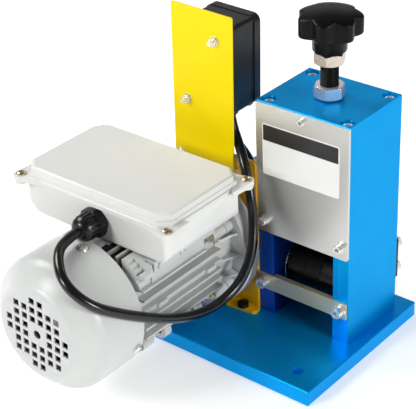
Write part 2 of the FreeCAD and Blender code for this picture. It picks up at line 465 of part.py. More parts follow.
for bx, bz in BOSS:
    s += hex_bolt((bx, -63.0, bz), (0, -1, 0), 4, 24.5, None, 10)
shield_bolts = s
res = fix(rev("y", MX, MZ, [(-166.0, 48.0), (-166.0, 54.0), (-170.0, 54.0), (-173.0, 50.0), (-176.0, 30.0), (-180.0, 22.0), (-180.0, 9.0), (-177.0, 9.0), (-177.0, 17.5), (-166.0, 17.5), (-166.0, 22.0), (-171.0, 30.0), (-170.0, 44.0), (-164.0, 46.0), (-164.0, 48.0)]))
res = res.fuse([Part.makeCylinder(4.8, 15.2, V(MX + 44.2 * math.cos(math.radians(a)), y_, MZ + 44.2 * math.sin(math.radians(a))), V(math.cos(math.radians(a)), 0, math.sin(math.radians(a)))) for a, y_ in ((81.0, -176.5), (-22.0, -171.3), (202.0, -171.3))])
res = res.cut([Part.makeCylinder(2.0, 12.0, V(MX + 52.9 * math.cos(math.radians(a)), y_, MZ + 52.9 * math.sin(math.radians(a))), V(math.cos(math.radians(a)), 0, math.sin(math.radians(a)))) for a, y_ in ((81.0, -176.5), (-22.0, -171.0), (202.0, -171.0))])
N["rear_end_shield"] = res
N["motor_bearings"] = group([ring("y", -49.0, -38.0, MX, MZ, 17.5, 7.55), ring("y", -177.0, -166.0, MX, MZ, 17.5, 7.55)])
N["motor_shaft"] = fuse(cyl("y", -206.0, -180.5, MX, MZ, 6.0), cyl("y", -180.5, -160.0, MX, MZ, 7.5), cyl("y", -160.0, -60.0, MX, MZ, 9.0), cyl("y", -60.0, -36.0, MX, MZ, 7.5), cyl("y", -36.0, -6.0, MX, MZ, 5.5))
N["rotor_core"] = fuse(ring("y", -150.0, -86.0, MX, MZ, 26.7, 9.0), ring("y", -155.0, -81.0, MX, MZ, 24.0, 14.0))
fanb = [box(MX + 12.0, MX + 48.0, -204.0, -190.0, MZ - 0.9, MZ + 0.9) for k in range(7)]
for k, b in enumerate(fanb):
    b.rotate(V(MX, 0, MZ), V(0, 1, 0), 360.0 / 7.0 * k)
fan = fuse(ring("y", -190.5, -188.0, MX, MZ, 49.0, 6.0), ring("y", -205.0, -186.0, MX, MZ, 12.5, 6.0), *fanb)
N["cooling_fan"] = fan.removeSplitter()

# pressed fan cover with its grille
fo = [(-164.7, 61.0), (-203.0, 61.0), (-209.0, 60.3), (-215.0, 57.0), (-219.5, 52.5), (-223.0, 48.0), (-225.0, 46.0), (-226.6, 44.4), (-228.2, 41.0), (-228.2, 0.0)]
fi = [(-226.8, 0.0), (-226.8, 40.2), (-225.4, 43.2), (-223.9, 44.7), (-222.0, 46.9), (-218.5, 51.3), (-214.2, 55.7), (-208.4, 59.0), (-202.8, 59.6), (-164.7, 59.6)]
fc = fix(rev("y", MX, MZ, fo + fi))
GRID = {0: (4, 5), 1: (2, 3, 4, 5, 6, 7), 2: (2, 3, 4, 5, 6, 7), 3: (1, 2, 3, 6, 7, 8), 4: (1, 2, 3, 6, 7, 8), 5: (2, 3, 4, 5, 6, 7), 6: (2, 3, 4, 5, 6, 7), 7: (4, 5)}
sq = []
for r, cs in GRID.items():
    for cc in cs:
        gx, gz = (cc - 4.5) * 9.1, (3.5 - r) * 9.1
        sq.append(box(MX + gx - 3.05, MX + gx + 3.05, -230.0, -225.0, MZ + gz - 3.05, MZ + gz + 3.05))
for b in sq:
    b.rotate(V(MX, 0, MZ), V(0, 1, 0), 3.5)
SC_A = (81.0, -22.0, 202.0)
SC_Y = {81.0: -176.5, -22.0: -171.0, 202.0: -171.0}
sc = [(MX + 58.0 * math.cos(math.radians(a)), MZ + 58.0 * math.sin(math.radians(a)), a) for a in SC_A]
fc = fc.cut(sq + [cyl("y", -230.0, -225.0, MX, MZ, 4.0)] + [Part.makeCylinder(2.1, 12.0, V(MX + 54 * math.cos(math.radians(a)), SC_Y[a], MZ + 54 * math.sin(math.radians(a))), V(math.cos(math.radians(a)), 0, math.sin(math.radians(a)))) for a in SC_A])
N["fan_cover"] = fc
s = []
for a in SC_A:
    d = (math.cos(math.radians(a)), 0, math.sin(math.radians(a)))
    s += pan_screw((MX + 62.0 * d[0], SC_Y[a], MZ + 62.0 * d[2]), d, 4, 9.0, 8.0, (5.0, 1.0))
N["motor_screws"] = group(shield_bolts + s)

# ---------------------------------------------------------------- terminal box on the motor
TBX0, TBX1, TBY0, TBY1 = -130.0, 33.0, -148.0, -52.0
TBZ0, TBZ1 = 137.5, 172.5


def tray_solid(d, z1, rl, rr, rc, re):
    """Block with a round at each bottom edge and at the upright corners, d smaller all round."""
    x0, x1, y0, y1, z0 = TBX0 + d, TBX1 - d, TBY0 + d, TBY1 - d, TBZ0 + d
    a = rrect_prism(x0, x1, y0, y1, z0, z1, rc)
    b = box(x0, x1, y0, y1, z0, z1)
    el = [q for q in b.Edges if abs(q.Vertexes[0].Point.y - q.Vertexes[-1].Point.y) > 1 and q.Vertexes[0].Point.z < z0 + 1]
    b = b.makeFillet(rl, [q for q in el if q.Vertexes[0].Point.x < x0 + 1])
    c_ = box(x0, x1, y0, y1, z0, z1)
    er = [q for q in c_.Edges if abs(q.Vertexes[0].Point.y - q.Vertexes[-1].Point.y) > 1 and q.Vertexes[0].Point.z < z0 + 1 and q.Vertexes[0].Point.x > x1 - 1]
    c_ = c_.makeFillet(rr, er)
    a = a.common(b).common(c_)
    if re:
        g = box(x0, x1, y0, y1, z0, z1)
        ee = [q for q in g.Edges if abs(q.Vertexes[0].Point.x - q.Vertexes[-1].Point.x) > 1 and q.Vertexes[0].Point.z < z0 + 1]
        a = a.common(g.makeFillet(re, ee))
    return a


outer = tray_solid(0.0, TBZ1, 29.0, 16.0, 8.0, 5.0)
inner_ = tray_solid(3.0, TBZ1 + 1.0, 26.0, 13.0, 6.0, 0)
LID_SCREWS = [(-126.2, -153.5), (37.3, -153.5), (-126.2, -50.6), (37.3, -50.6)]
ears = []
for x, y in LID_SCREWS:
    cx, cy = (TBX0 + 12 if x < 0 else TBX1 - 12), (TBY0 + 12 if y < -100 else TBY1 - 12)
    a = math.degrees(math.atan2(y - cy, x - cx))
    L = math.hypot(x - cx, y - cy)
    eb_ = box(0, L, -5.6, 5.6, 0, 2.6).fuse(cyl("z", 0, 2.6, L, 0, 5.6))
    eb_.rotate(V(0, 0, 0), V(0, 0, 1), a)
    eb_.translate(V(cx, cy, TBZ1 - 2.6))
    ears.append(eb_)
tb = outer.fuse(ears).cut(inner_)
tb = tb.cut([cyl("z", 136.0, 143.0, MX, -100.0, 10.0), cyl("y", TBY0 - 1, TBY0 + 5, MX, 156.5, 8.0)] + [cyl("z", 160.0, TBZ1 + 1, x, y, 2.0) for x, y in LID_SCREWS])
N["terminal_box"] = tb.removeSplitter()


def oct_wire(x0, x1, y0, y1, z, c):
    p = [(x0 + c, y0), (x1 - c, y0), (x1, y0 + c), (x1, y1 - c), (x1 - c, y1), (x0 + c, y1), (x0, y1 - c), (x0, y0 + c)]
    return Part.makePolygon([V(x, y, z) for x, y in p] + [V(p[0][0], p[0][1], z)])


LZ = 177.0                                          # top of the lid's flange
lf = rrect_prism(-130.6, 36.6, -153.9, -50.4, TBZ1, LZ, 8.0)
e = [q for q in lf.Edges if q.BoundBox.ZMin > LZ - 0.01]
lf = lf.makeFillet(1.4, e)
le = []
for x, y in LID_SCREWS:
    cx, cy = (-116.0 if x < 0 else 23.0), (-138.0 if y < -100 else -64.0)
    a = math.degrees(math.atan2(y - cy, x - cx))
    L = math.hypot(x - cx, y - cy)
    eb_ = box(0, L, -6.4, 6.4, 0, LZ - TBZ1).fuse(cyl("z", 0, LZ - TBZ1, L, 0, 6.4))
    eb_.rotate(V(0, 0, 0), V(0, 0, 1), a)
    eb_.translate(V(cx, cy, TBZ1))
    le.append(eb_)
    hx, hy = (1.0 if x < 0 else -1.0), (1.0 if y < -100 else -1.0)
    le.append(prism([(x, y - hy * 6.4, TBZ1), (x + hx * 24.0, y - hy * 0.4, TBZ1), (x + hx * 10.0, y + hy * 12.0, TBZ1), (x - hx * 4.4, y + hy * 24.0, TBZ1), (x - hx * 6.4, y, TBZ1)], (0, 0, LZ - TBZ1)))
s1 = Part.makeLoft([oct_wire(-128.2, 35.4, -152.9, -51.4, LZ - 0.5, 9.0), oct_wire(-127.0, 34.9, -152.5, -52.2, LZ + 3.6, 9.0)], True, True)
s2 = Part.makeLoft([oct_wire(-125.4, 34.3, -152.0, -52.9, LZ + 3.5, 10.5), oct_wire(-124.7, 33.6, -151.2, -53.5, 185.2, 10.5)], True, True)
s3 = Part.makeLoft([oct_wire(-124.7, 33.6, -151.2, -53.5, 185.2, 10.5), oct_wire(-122.9, 31.8, -149.4, -55.3, 186.6, 10.0)], True, True)
lid = lf.fuse(le + [fix(s1), fix(s2), fix(s3)])
h1 = Part.makeLoft([oct_wire(-124.5, 30.0, -146.0, -55.0, 170.0, 9.0), oct_wire(-121.5, 29.8, -147.4, -57.0, 184.0, 8.0)], True, True)
lid = lid.cut([fix(h1)] + [cyl("z", 165.0, 200.0, x, y, 2.3) for x, y in LID_SCREWS] + [cyl("z", LZ, 200.0, x, y, 5.2) for x, y in LID_SCREWS])
N["terminal_box_lid"] = lid.removeSplitter()
s = []
for x, y in LID_SCREWS:
    s += pan_screw((x, y, LZ), (0, 0, 1), 4, 7.0, 8.6)
N["terminal_box_screws"] = group(s)
N["terminal_block"] = fuse(box(-30.0, 12.0, -118.0, -82.0, 140.5, 150.0), *[cyl("z", 150.0, 158.0, x, y, 2.0) for x in (-22.0, -8.0, 6.0) for y in (-108.0, -92.0)])
N["run_capacitor"] = cyl("x", -100.0, -42.0, -75.0, 156.0, 13.0)

GLZ = 156.5
gl = nut("y", -157.0, TBY0, MX, GLZ, 24.0, 0, 15.0, True)
gl = gl.fuse([cyl("y", TBY0, TBY0 + 5.0, MX, GLZ, 8.0), nut("y", TBY0 + 3.0, TBY0 + 7.0, MX, GLZ, 20.0, 0)])
gl = gl.removeSplitter()
dn = fix(rev("y", MX, GLZ, [(-157.0, 0), (-157.0, 11.8), (-164.0, 11.6), (-167.2, 10.7), (-169.6, 9.2), (-171.2, 7.4), (-172.0, 5.6), (-172.0, 0)]))
dn = dn.cut([Part.makeBox(1.2, 9.0, 1.6, V(10.9, -165.5, -0.8)).rotated(V(0, 0, 0), V(0, 1, 0), 20.0 * k).translated(V(MX, 0, GLZ)) for k in range(18)])
dn = dn.cut(cyl("y", -175.0, -164.2, MX, MZ, 61.5))
N["motor_cable_gland"] = group([gl, dn])

# ---------------------------------------------------------------- wall bracket and switch plate
WALL_X0, WALL_X1 = -72.5, 15.6
leaf = box(WALL_X0, WALL_X1, -10.2, -7.2, BASE_T, 168.5)
e = [q for q in leaf.Edges if abs(q.Vertexes[0].Point.y - q.Vertexes[-1].Point.y) > 1 and q.Vertexes[0].Point.z > 160]
leaf = leaf.makeFillet(4.0, e)
foot = prism([(-16.0, -7.2, BASE_T), (15.6, -7.2, BASE_T), (17.3, -10.4, BASE_T), (18.8, -17.0, BASE_T), (16.3, -20.0, BASE_T), (-11.8, -23.0, BASE_T), (-16.0, -20.6, BASE_T)], (0, 0, 3.0))
foot = foot.common(box(-20, 25, -30, -7.2, 10, 20))
wall = leaf.fuse(foot).cut([box(13.2, 17.0, -12.0, -6.0, 40.7, 57.2), cyl("y", -12.0, -6.0, MX, MZ, 22.6), cyl("z", 14.0, 19.0, BRK_BOLT[0], BRK_BOLT[1], 3.2)])
PL_BOLTS = [(-6.0, 152.0), (-62.0, 159.6)]
LOCK_BOLT = (-5.6, 164.0)
wall = wall.cut([cyl("y", -12.0, -6.0, x, z, 2.6) for x, z in PL_BOLTS + [LOCK_BOLT]])
N["wall_bracket"] = wall.removeSplitter()
N["wall_bracket_bolt"] = group(hex_bolt((BRK_BOLT[0], BRK_BOLT[1], 18.0), (0, 0, 1), 6, 14.0, None, 12))
# the switch plate and all on it lean a little about Y
PIV, LEAN = (-33.15, 302.5), 1.1


def lean(s_):
    q = s_.copy()
    q.rotate(V(PIV[0], 0, PIV[1]), V(0, 1, 0), LEAN)
    return q


def leaned(x, z):
    a_ = math.radians(LEAN)
    dx, dz = x - PIV[0], z - PIV[1]
    return (PIV[0] + dx * math.cos(a_) + dz * math.sin(a_), PIV[1] - dx * math.sin(a_) + dz * math.cos(a_))


pl = box(-65.9, -0.4, -18.0, -16.0, 130.0, 302.5)
e = [q for q in pl.Edges if abs(q.Vertexes[0].Point.y - q.Vertexes[-1].Point.y) > 1]
pl = pl.makeFillet(1.5, e)
BX_BOLTS = [(-18.6, 277.4), (-49.9, 215.2)]
pl = pl.cut([cyl("y", -19.0, -15.0, x, z, 2.2) for x, z in BX_BOLTS])
pl = lean(pl).cut([cyl("y", -19.0, -15.0, x, z, 2.6) for x, z in PL_BOLTS])
N["switch_plate"] = pl
s = []
for x, z in PL_BOLTS:
    s += pan_screw((x, -18.0, z), (0, -1, 0), 5, 16.5, 9.0)
    s.append(nut("y", -16.0, -10.2, x, z, 9.0, 2.5, 8))
    s.append(nut("y", -7.2, -3.2, x, z, 8.0, 2.5, 20))
s += hex_bolt((LOCK_BOLT[0], -10.2, LOCK_BOLT[1]), (0, -1, 0), 5, 8.0, None, 5)
s.append(nut("y", -7.2, -3.2, LOCK_BOLT[0], LOCK_BOLT[1], 8.0, 2.5, 20))
plate_bolts = s

# ---------------------------------------------------------------- switch box
SBX0, SBX1, SBZ0, SBZ1 = -53.6, -1.6, 210.8, 292.5
sb = box(SBX0, SBX1, -16.0, 14.0, SBZ0, SBZ1)
e = [q for q in sb.Edges if abs(q.Vertexes[0].Point.y - q.Vertexes[-1].Point.y) > 1]
sb = sb.makeFillet(8.0, [q for q in e if q.Vertexes[0].Point.x < -30])
e = [q for q in sb.Edges if abs(q.Vertexes[0].Point.y - q.Vertexes[-1].Point.y) > 25 and q.Vertexes[0].Point.x > SBX1 - 0.5]
sb = sb.makeFillet(3.5, e)
si = box(SBX0 + 2.5, SBX1 - 2.5, -13.5, 15.0, SBZ0 + 2.5, SBZ1 - 2.5)
e = [q for q in si.Edges if abs(q.Vertexes[0].Point.y - q.Vertexes[-1].Point.y) > 1 and q.Vertexes[0].Point.x < -30]
sb = sb.cut(si.makeFillet(5.5, e))
sb = sb.cut([cyl("y", -17.0, -12.0, x, z, 2.0) for x, z in BX_BOLTS] + [cyl("y", -13.5, -11.0, x, z, 3.15) for x, z in BX_BOLTS])
MG = (-15.0, -2.5)
PG = (-31.0, 3.5)
sb = sb.cut([cyl("z", 209.0, 216.0, MG[0], MG[1], 4.5), cyl("z", 209.0, 216.0, PG[0], PG[1], 4.5)])
N["switch_box"] = lean(sb.removeSplitter())
sl = box(SBX0 - 1.0, SBX1 + 1.0, 14.0, 22.0, SBZ0 - 1.0, SBZ1 + 0.7)
e = [q for q in sl.Edges if abs(q.Vertexes[0].Point.y - q.Vertexes[-1].Point.y) > 1]
sl = sl.makeFillet(9.0, [q for q in e if q.Vertexes[0].Point.x < -30])
e = [q for q in sl.Edges if abs(q.Vertexes[0].Point.y - q.Vertexes[-1].Point.y) > 7 and q.Vertexes[0].Point.x > SBX1 + 0.5]
sl = sl.makeFillet(7.0, e)
lip = box(SBX0 + 2.8, SBX1 - 2.8, 11.0, 14.0, SBZ0 + 2.8, SBZ1 - 2.8)
e = [q for q in lip.Edges if abs(q.Vertexes[0].Point.y - q.Vertexes[-1].Point.y) > 1 and q.Vertexes[0].Point.x < -30]
lip = lip.makeFillet(5.2, e)
sl = sl.fuse([lip.cut(box(SBX0 + 4.5, SBX1 - 4.5, 10.0, 15.0, SBZ0 + 4.5, SBZ1 - 4.5)), box(-14.0, -8.0, 15.5, 20.5, SBZ0 - 4.5, SBZ0 - 0.9)])
BT = (-28.0, 267.0, 237.0)
sl = sl.cut([cyl("y", 13.0, 23.0, BT[0], BT[1], 8.4), cyl("y", 13.0, 23.0, BT[0], BT[2], 8.4), box(SBX0 + 4.5, SBX1 - 4.5, 10.0, 19.5, SBZ0 + 4.5, SBZ1 - 4.5)]
            + [cyl("y", 10.0, 23.0, x, z, 1.7) for x in (-47.4, -7.0) for z in (217.2, 286.0)])
N["switch_box_lid"] = lean(sl.removeSplitter())
s = []
for x in (-47.4, -7.0):
    for z in (217.2, 286.0):
        s += pan_screw((x, 22.0, z), (0, 1, 0), 3, 10.5, 5.6)
N["switch_lid_screws"] = lean(group(s))
s = []
for x, z in BX_BOLTS:
    s += [fuse(cyl("y", -26.0, -13.5, x, z, 2.0), cyl("y", -13.5, -11.0, x, z, 3.1))]
    s += [ring("y", -18.8, -18.0, x, z, 4.6, 2.0), nut("y", -22.0, -18.8, x, z, 7.0, 2.0, 12)]
N["switch_mount_bolts"] = group(plate_bolts + [lean(q) for q in s])
blk = box(-42.0, -14.0, -13.5, 6.0, 222.0, 282.0).cut([cyl("y", -14.0, -10.9, x, z, 4.1) for x, z in BX_BOLTS])
blk = blk.cut([cyl("y", -4.0, 7.0, BT[0], BT[1], 5.2), cyl("y", -4.0, 7.0, BT[0], BT[2], 5.2)])
N["switch_contact_block"] = lean(blk)


def button(z, head):
    return lean(fuse(cyl("y", 0.5, 11.5, BT[0], z, 4.6), fix(rev("y", BT[0], z, [(11.5, 0), (11.5, 7.9), (head - 0.8, 7.9), (head, 7.1), (head, 0)]))))


N["start_button"] = button(BT[1], 24.6)
N["stop_button"] = button(BT[2], 26.6)


def gland(x, y, z1, rn):
    g = nut("z", z1 - 4.5, z1, x, y, 14.0, 0, 10)
    return lean(fuse(g, cyl("z", z1, z1 + 4.5, x, y, 4.5), fix(rev("z", x, y, [(z1 - 4.5, 0), (z1 - 4.5, 6.4), (z1 - 5.5, 6.4), (z1 - 7.0, rn), (z1 - 7.0, 0)]))))


N["switch_cable_glands"] = group([gland(MG[0], MG[1], SBZ0, 5.6), gland(PG[0], PG[1], SBZ0, 5.0)])

# ---------------------------------------------------------------- cords
MOTOR_ROUTE = [(-44.5, -172, 156.5), (-44.5, -190.0, 156.0), (-32.0, -209.2, 154.3), (-11.5, -223.5, 145.3), (8.6, -217.0, 129.4), (18.2, -194.8, 113.9), (22.6, -167.5, 96.4), (24.0, -140.5, 80.6), (26.2, -111.0, 68.6),
               (26.3, -81.5, 63.0), (30.5, -56.0, 71.9), (33.4, -40.5, 95.8), (27.0, -28.5, 122.5), (20.5, -25.0, 149.5), (8.0, -16.6, 171.0), (-5.4, -7.0, 181.8), (-13.4, -3.7, 192.0), (-16.9, -2.5, 205.0)]
MAINS_ROUTE = [(-32.9, 3.5, 205.0), (-32.4, 3.6, 192.0), (-25.2, 4.4, 179.0), (-12.4, 7.0, 168.5), (-7.4, 12.2, 154.8), (-11.0, 21.0, 142.5), (-21.0, 32.5, 133.0), (-31.5, 46.0, 128.5), (-39.5, 61.5, 123.5), (-44.0, 77.5, 113.5),
               (-46.8, 88.5, 95.5), (-48.5, 94.0, 71.0), (-50.5, 96.5, 46.5), (-56.0, 98.0, 25.5), (-69.0, 102.0, 10.5), (-86.0, 109.0, 6.2)]
COIL_C = (-62.0, 146.0)
COIL_R, COIL_H = 38.5, 23.2
TAIL_ROUTE = [(-22.0, 160.0, 12.0), (-17.3, 146.7, 11.5), (-10.0, 137.2, 10.9), (-0.1, 130.5, 10.0), (13.4, 126.6, 9.3)]


def route_wire(pts):
    """Straight runs joined by tangent arcs, each as large as its two runs allow."""
    P = [V(*p) for p in pts]
    edges, cur, rad = [], P[0], []
    for i in range(1, len(P) - 1):
        a, b = P[i - 1] - P[i], P[i + 1] - P[i]
        la, lb = a.Length, b.Length
        a, b = V(a).normalize(), V(b).normalize()
        turn = math.pi - a.getAngle(b)
        t = 0.45 * min(la, lb)
        r = t / math.tan(turn / 2.0)
        rad.append((i, round(math.degrees(turn), 1), round(r, 1)))
        s0, s1_ = P[i] + a * t, P[i] + b * t
        bis = (a + b).normalize()
        mid = P[i] + bis * (r / math.cos(turn / 2.0) - r)
        edges.append(Part.LineSegment(cur, s0).toShape())
        edges.append(Part.Arc(s0, mid, s1_).toShape())
        cur = s1_
    edges.append(Part.LineSegment(cur, P[-1]).toShape())
    return Part.Wire(edges), rad


def tube(name, pts, d):
    w, rad = route_wire(pts)
    P0, P1 = V(*pts[0]), V(*pts[1])
    c = Part.Wire(Part.makeCircle(d / 2.0, P0, P1 - P0))
    s_ = w.makePipeShell([c], True, False)
    s_ = fix(s_)
    print(name, "length", round(w.Length, 1), "volume ratio", round(s_.Volume / (math.pi * d * d / 4.0 * w.Length), 4), "radii", rad)
    return s_


N["motor_cable"] = tube("motor_cable", MOTOR_ROUTE, MCORD_D)
N["mains_cord"] = tube("mains_cord", MAINS_ROUTE, CORD_D)
cs = [(1.2, COIL_R - 5.6), (0.0, COIL_R - 3.6), (0.0, COIL_R + 4.6), (3.0, COIL_R + 9.2), (18.6, COIL_R + 9.2), (COIL_H, COIL_R + 4.6), (COIL_H, COIL_R - 3.6), (18.6, COIL_R - 7.2), (3.0, COIL_R - 7.2)]
N["mains_cord_coil"] = fix(rev("z", COIL_C[0], COIL_C[1], cs))
N["mains_cord_tail"] = tube("mains_cord_tail", TAIL_ROUTE, CORD_D)
# moulded plug with two flat blades and a round earth pin, lying on its side
pd = V(*TAIL_ROUTE[-1]) - V(*TAIL_ROUTE[-2])
pd.normalize()
zx = V(pd.x, pd.y, 0).normalize()
yx = V(0, 0, 1)
xx = yx.cross(zx)
m = FreeCAD.Matrix(xx.x, yx.x, zx.x, TAIL_ROUTE[-1][0], xx.y, yx.y, zx.y, TAIL_ROUTE[-1][1], xx.z, yx.z, zx.z, TAIL_ROUTE[-1][2], 0, 0, 0, 1)
plug0 = fix(rev("z", 0, 0, [(0, 0), (0, 4.6), (16.0, 6.6), (17.0, 8.0), (22.0, 9.6), (22.0, 0)]))
plug0 = plug0.fuse([rrect_prism(-12.0, 12.0, -9.0, 9.0, 20.0, 40.0, 5.0)] + [box(dx - 0.75, dx + 0.75, -1.0, 5.3, 40.0, 57.0) for dx in (-6.35, 6.35)] + [cyl("z", 40.0, 59.0, 0, -5.5, 2.4)]).removeSplitter()
N["mains_plug"] = plug0.transformed(m)

# ---------------------------------------------------------------- export
assert len(N) <= 60, len(N)
for name, shp in N.items():
    ok = shp.isValid() and all(q.Volume > 0 for q in shp.Solids) and len(shp.Solids) > 0
    if not ok:
        print("CHECK", name, shp.isValid(), [round(q.Volume, 1) for q in shp.Solids][:5])
    shp.exportStep("parts/%s.step" % name)
print(len(N), "nodes")
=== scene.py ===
import bpy
import bmesh
import json
import math
from mathutils import Vector, Matrix

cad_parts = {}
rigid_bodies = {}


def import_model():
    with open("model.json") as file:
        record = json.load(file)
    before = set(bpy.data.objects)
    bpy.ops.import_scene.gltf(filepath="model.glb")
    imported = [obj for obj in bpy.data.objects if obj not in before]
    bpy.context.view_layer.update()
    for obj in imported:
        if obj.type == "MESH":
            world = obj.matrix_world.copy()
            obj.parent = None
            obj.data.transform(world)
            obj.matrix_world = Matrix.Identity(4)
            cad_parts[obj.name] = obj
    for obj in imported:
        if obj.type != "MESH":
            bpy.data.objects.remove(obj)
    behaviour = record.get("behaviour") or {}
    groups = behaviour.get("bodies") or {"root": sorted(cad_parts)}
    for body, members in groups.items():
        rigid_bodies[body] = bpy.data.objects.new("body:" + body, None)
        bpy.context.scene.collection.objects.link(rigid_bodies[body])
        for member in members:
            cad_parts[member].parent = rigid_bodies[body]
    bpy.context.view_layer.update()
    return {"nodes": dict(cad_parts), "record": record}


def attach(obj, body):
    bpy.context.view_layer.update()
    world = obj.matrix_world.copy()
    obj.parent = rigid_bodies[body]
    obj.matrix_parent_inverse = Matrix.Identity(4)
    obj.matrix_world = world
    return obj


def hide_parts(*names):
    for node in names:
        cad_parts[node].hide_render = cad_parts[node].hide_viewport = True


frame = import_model()
MM = 0.001
NODES = frame["nodes"]
SCN = bpy.context.scene

# ------------------------------------------------------------------ camera
AZ, EL, ROLL = math.radians(40.269), math.radians(30.133), math.radians(-2.362)
back = Vector((math.sin(AZ) * math.cos(EL), -math.cos(AZ) * math.cos(EL), math.sin(EL)))
fwd = -back
right = fwd.cross(Vector((0, 0, 1))).normalized()
up = right.cross(fwd)
r2 = right * math.cos(ROLL) + up * math.sin(ROLL)
u2 = -right * math.sin(ROLL) + up * math.cos(ROLL)
cam_data = bpy.data.cameras.new("cam")
cam_data.sensor_fit = "HORIZONTAL"
cam_data.sensor_width = 36.0
cam_data.lens = 122.03
cam_data.clip_start = 0.05
cam_data.clip_end = 20.0
cam = bpy.data.objects.new("cam", cam_data)
SCN.collection.objects.link(cam)
cam.matrix_world = Matrix(((r2.x, u2.x, back.x, 0.678277), (r2.y, u2.y, back.y, -0.858271), (r2.z, u2.z, back.z, 0.752953), (0, 0, 0, 1)))
SCN.camera = cam


# ------------------------------------------------------------------ cords
def cord_curve(name, pts, dia):
    cu = bpy.data.curves.new(name, "CURVE")
    cu.dimensions = "3D"
    cu.bevel_depth = dia / 2.0 * MM
    cu.bevel_resolution = 7
    cu.use_fill_caps = True
    cu.resolution_u = 10
    sp = cu.splines.new("NURBS")
    sp.points.add(len(pts) - 1)
    for p, q in zip(sp.points, pts):
        p.co = (q[0] * MM, q[1] * MM, q[2] * MM, 1.0)
    sp.order_u = 3
    sp.use_endpoint_u = True
    ob = bpy.data.objects.new(name, cu)
    SCN.collection.objects.link(ob)
    return ob


CORD_D, MCORD_D = 7.2, 8.8
MOTOR_ROUTE = [(-44.5, -172, 156.5), (-44.5, -190.0, 156.0), (-32.0, -209.2, 154.3), (-11.5, -223.5, 145.3), (8.6, -217.0, 129.4), (18.2, -194.8, 113.9),
               (22.6, -167.5, 96.4), (24.0, -140.5, 80.6), (26.2, -111.0, 68.6), (26.3, -81.5, 63.0), (30.5, -56.0, 71.9), (33.4, -40.5, 95.8),
               (27.0, -28.5, 122.5), (20.5, -25.0, 149.5), (8.0, -16.6, 171.0), (-5.4, -7.0, 181.8), (-13.4, -3.7, 192.0), (-16.9, -2.5, 205.0)]
MAINS_ROUTE = [(-32.9, 3.5, 205.0), (-32.4, 3.6, 192.0), (-25.2, 4.4, 179.0), (-12.4, 7.0, 168.5), (-7.4, 12.2, 154.8), (-11.0, 21.0, 142.5), (-21.0, 32.5, 133.0), (-31.5, 46.0, 128.5),
               (-39.5, 61.5, 123.5), (-44.0, 77.5, 113.5), (-46.8, 88.5, 95.5), (-48.5, 94.0, 71.0), (-50.5, 96.5, 46.5), (-56.0, 98.0, 25.5), (-69.0, 102.0, 10.5), (-86.0, 109.0, 6.2)]
TAIL_ROUTE = [(-22.0, 160.0, 12.0), (-17.3, 146.7, 11.5), (-10.0, 137.2, 10.9), (-0.1, 130.5, 10.0), (13.4, 126.6, 9.3)]
COIL_C = (-62.0, 146.0)
RO, RI, Z1, Z2, Z3 = 42.0, 34.6, 3.7, 11.3, 19.1
# angle, radius and height of the coiled lead, turning clockwise from above
COIL_KEYS = [(-123, 44.1, 6.2), (-145, 42.6, 4.6), (-168, RO, Z1), (-415, RO, Z1), (-447, RO - 0.6, Z1), (-478, RI, Z1), (-740, RI, Z1), (-800, RI, Z2), (-1100, RI, Z2),
             (-1160, RI, Z3), (-1365, RI, Z3), (-1405, RO, Z3), (-1640, RO + 0.3, Z3), (-1705, RO + 1.6, Z2 + 0.5), (-1758, RO + 2.4, Z2 + 0.6)]


def coil_points(step=22.5):
    out, t = [], COIL_KEYS[0][0] - step
    while t > COIL_KEYS[-1][0]:
        for a, b in zip(COIL_KEYS, COIL_KEYS[1:]):
            if a[0] >= t >= b[0]:
                u = (a[0] - t) / (a[0] - b[0])
                u = u * u * (3 - 2 * u)
                R, z = a[1] + (b[1] - a[1]) * u, a[2] + (b[2] - a[2]) * u
                break
        tm = (t + 180) % 360 - 180
        w = math.exp(-((tm + 106) / 26.0) ** 2)
        if t < -273:
            R -= 3.0 * w * (0.75 if z < 6 and R > 38 else 1.0)
        R /= math.cos(math.radians(step / 2))
        out.append((COIL_C[0] + R * math.cos(math.radians(t)), COIL_C[1] + R * math.sin(math.radians(t)), z))
        t -= step
    return out


motor_cable = cord_curve("motor_cable_v", MOTOR_ROUTE, MCORD_D)
mains_lead = cord_curve("mains_lead_v", MAINS_ROUTE + coil_points() + TAIL_ROUTE, CORD_D)


# ------------------------------------------------------------------ materials
def lin(r, g, b):
    f = lambda c: (c / 255.0 / 12.92) if c <= 10.3 else ((c / 255.0 + 0.055) / 1.055) ** 2.4
    return (f(r), f(g), f(b), 1.0)


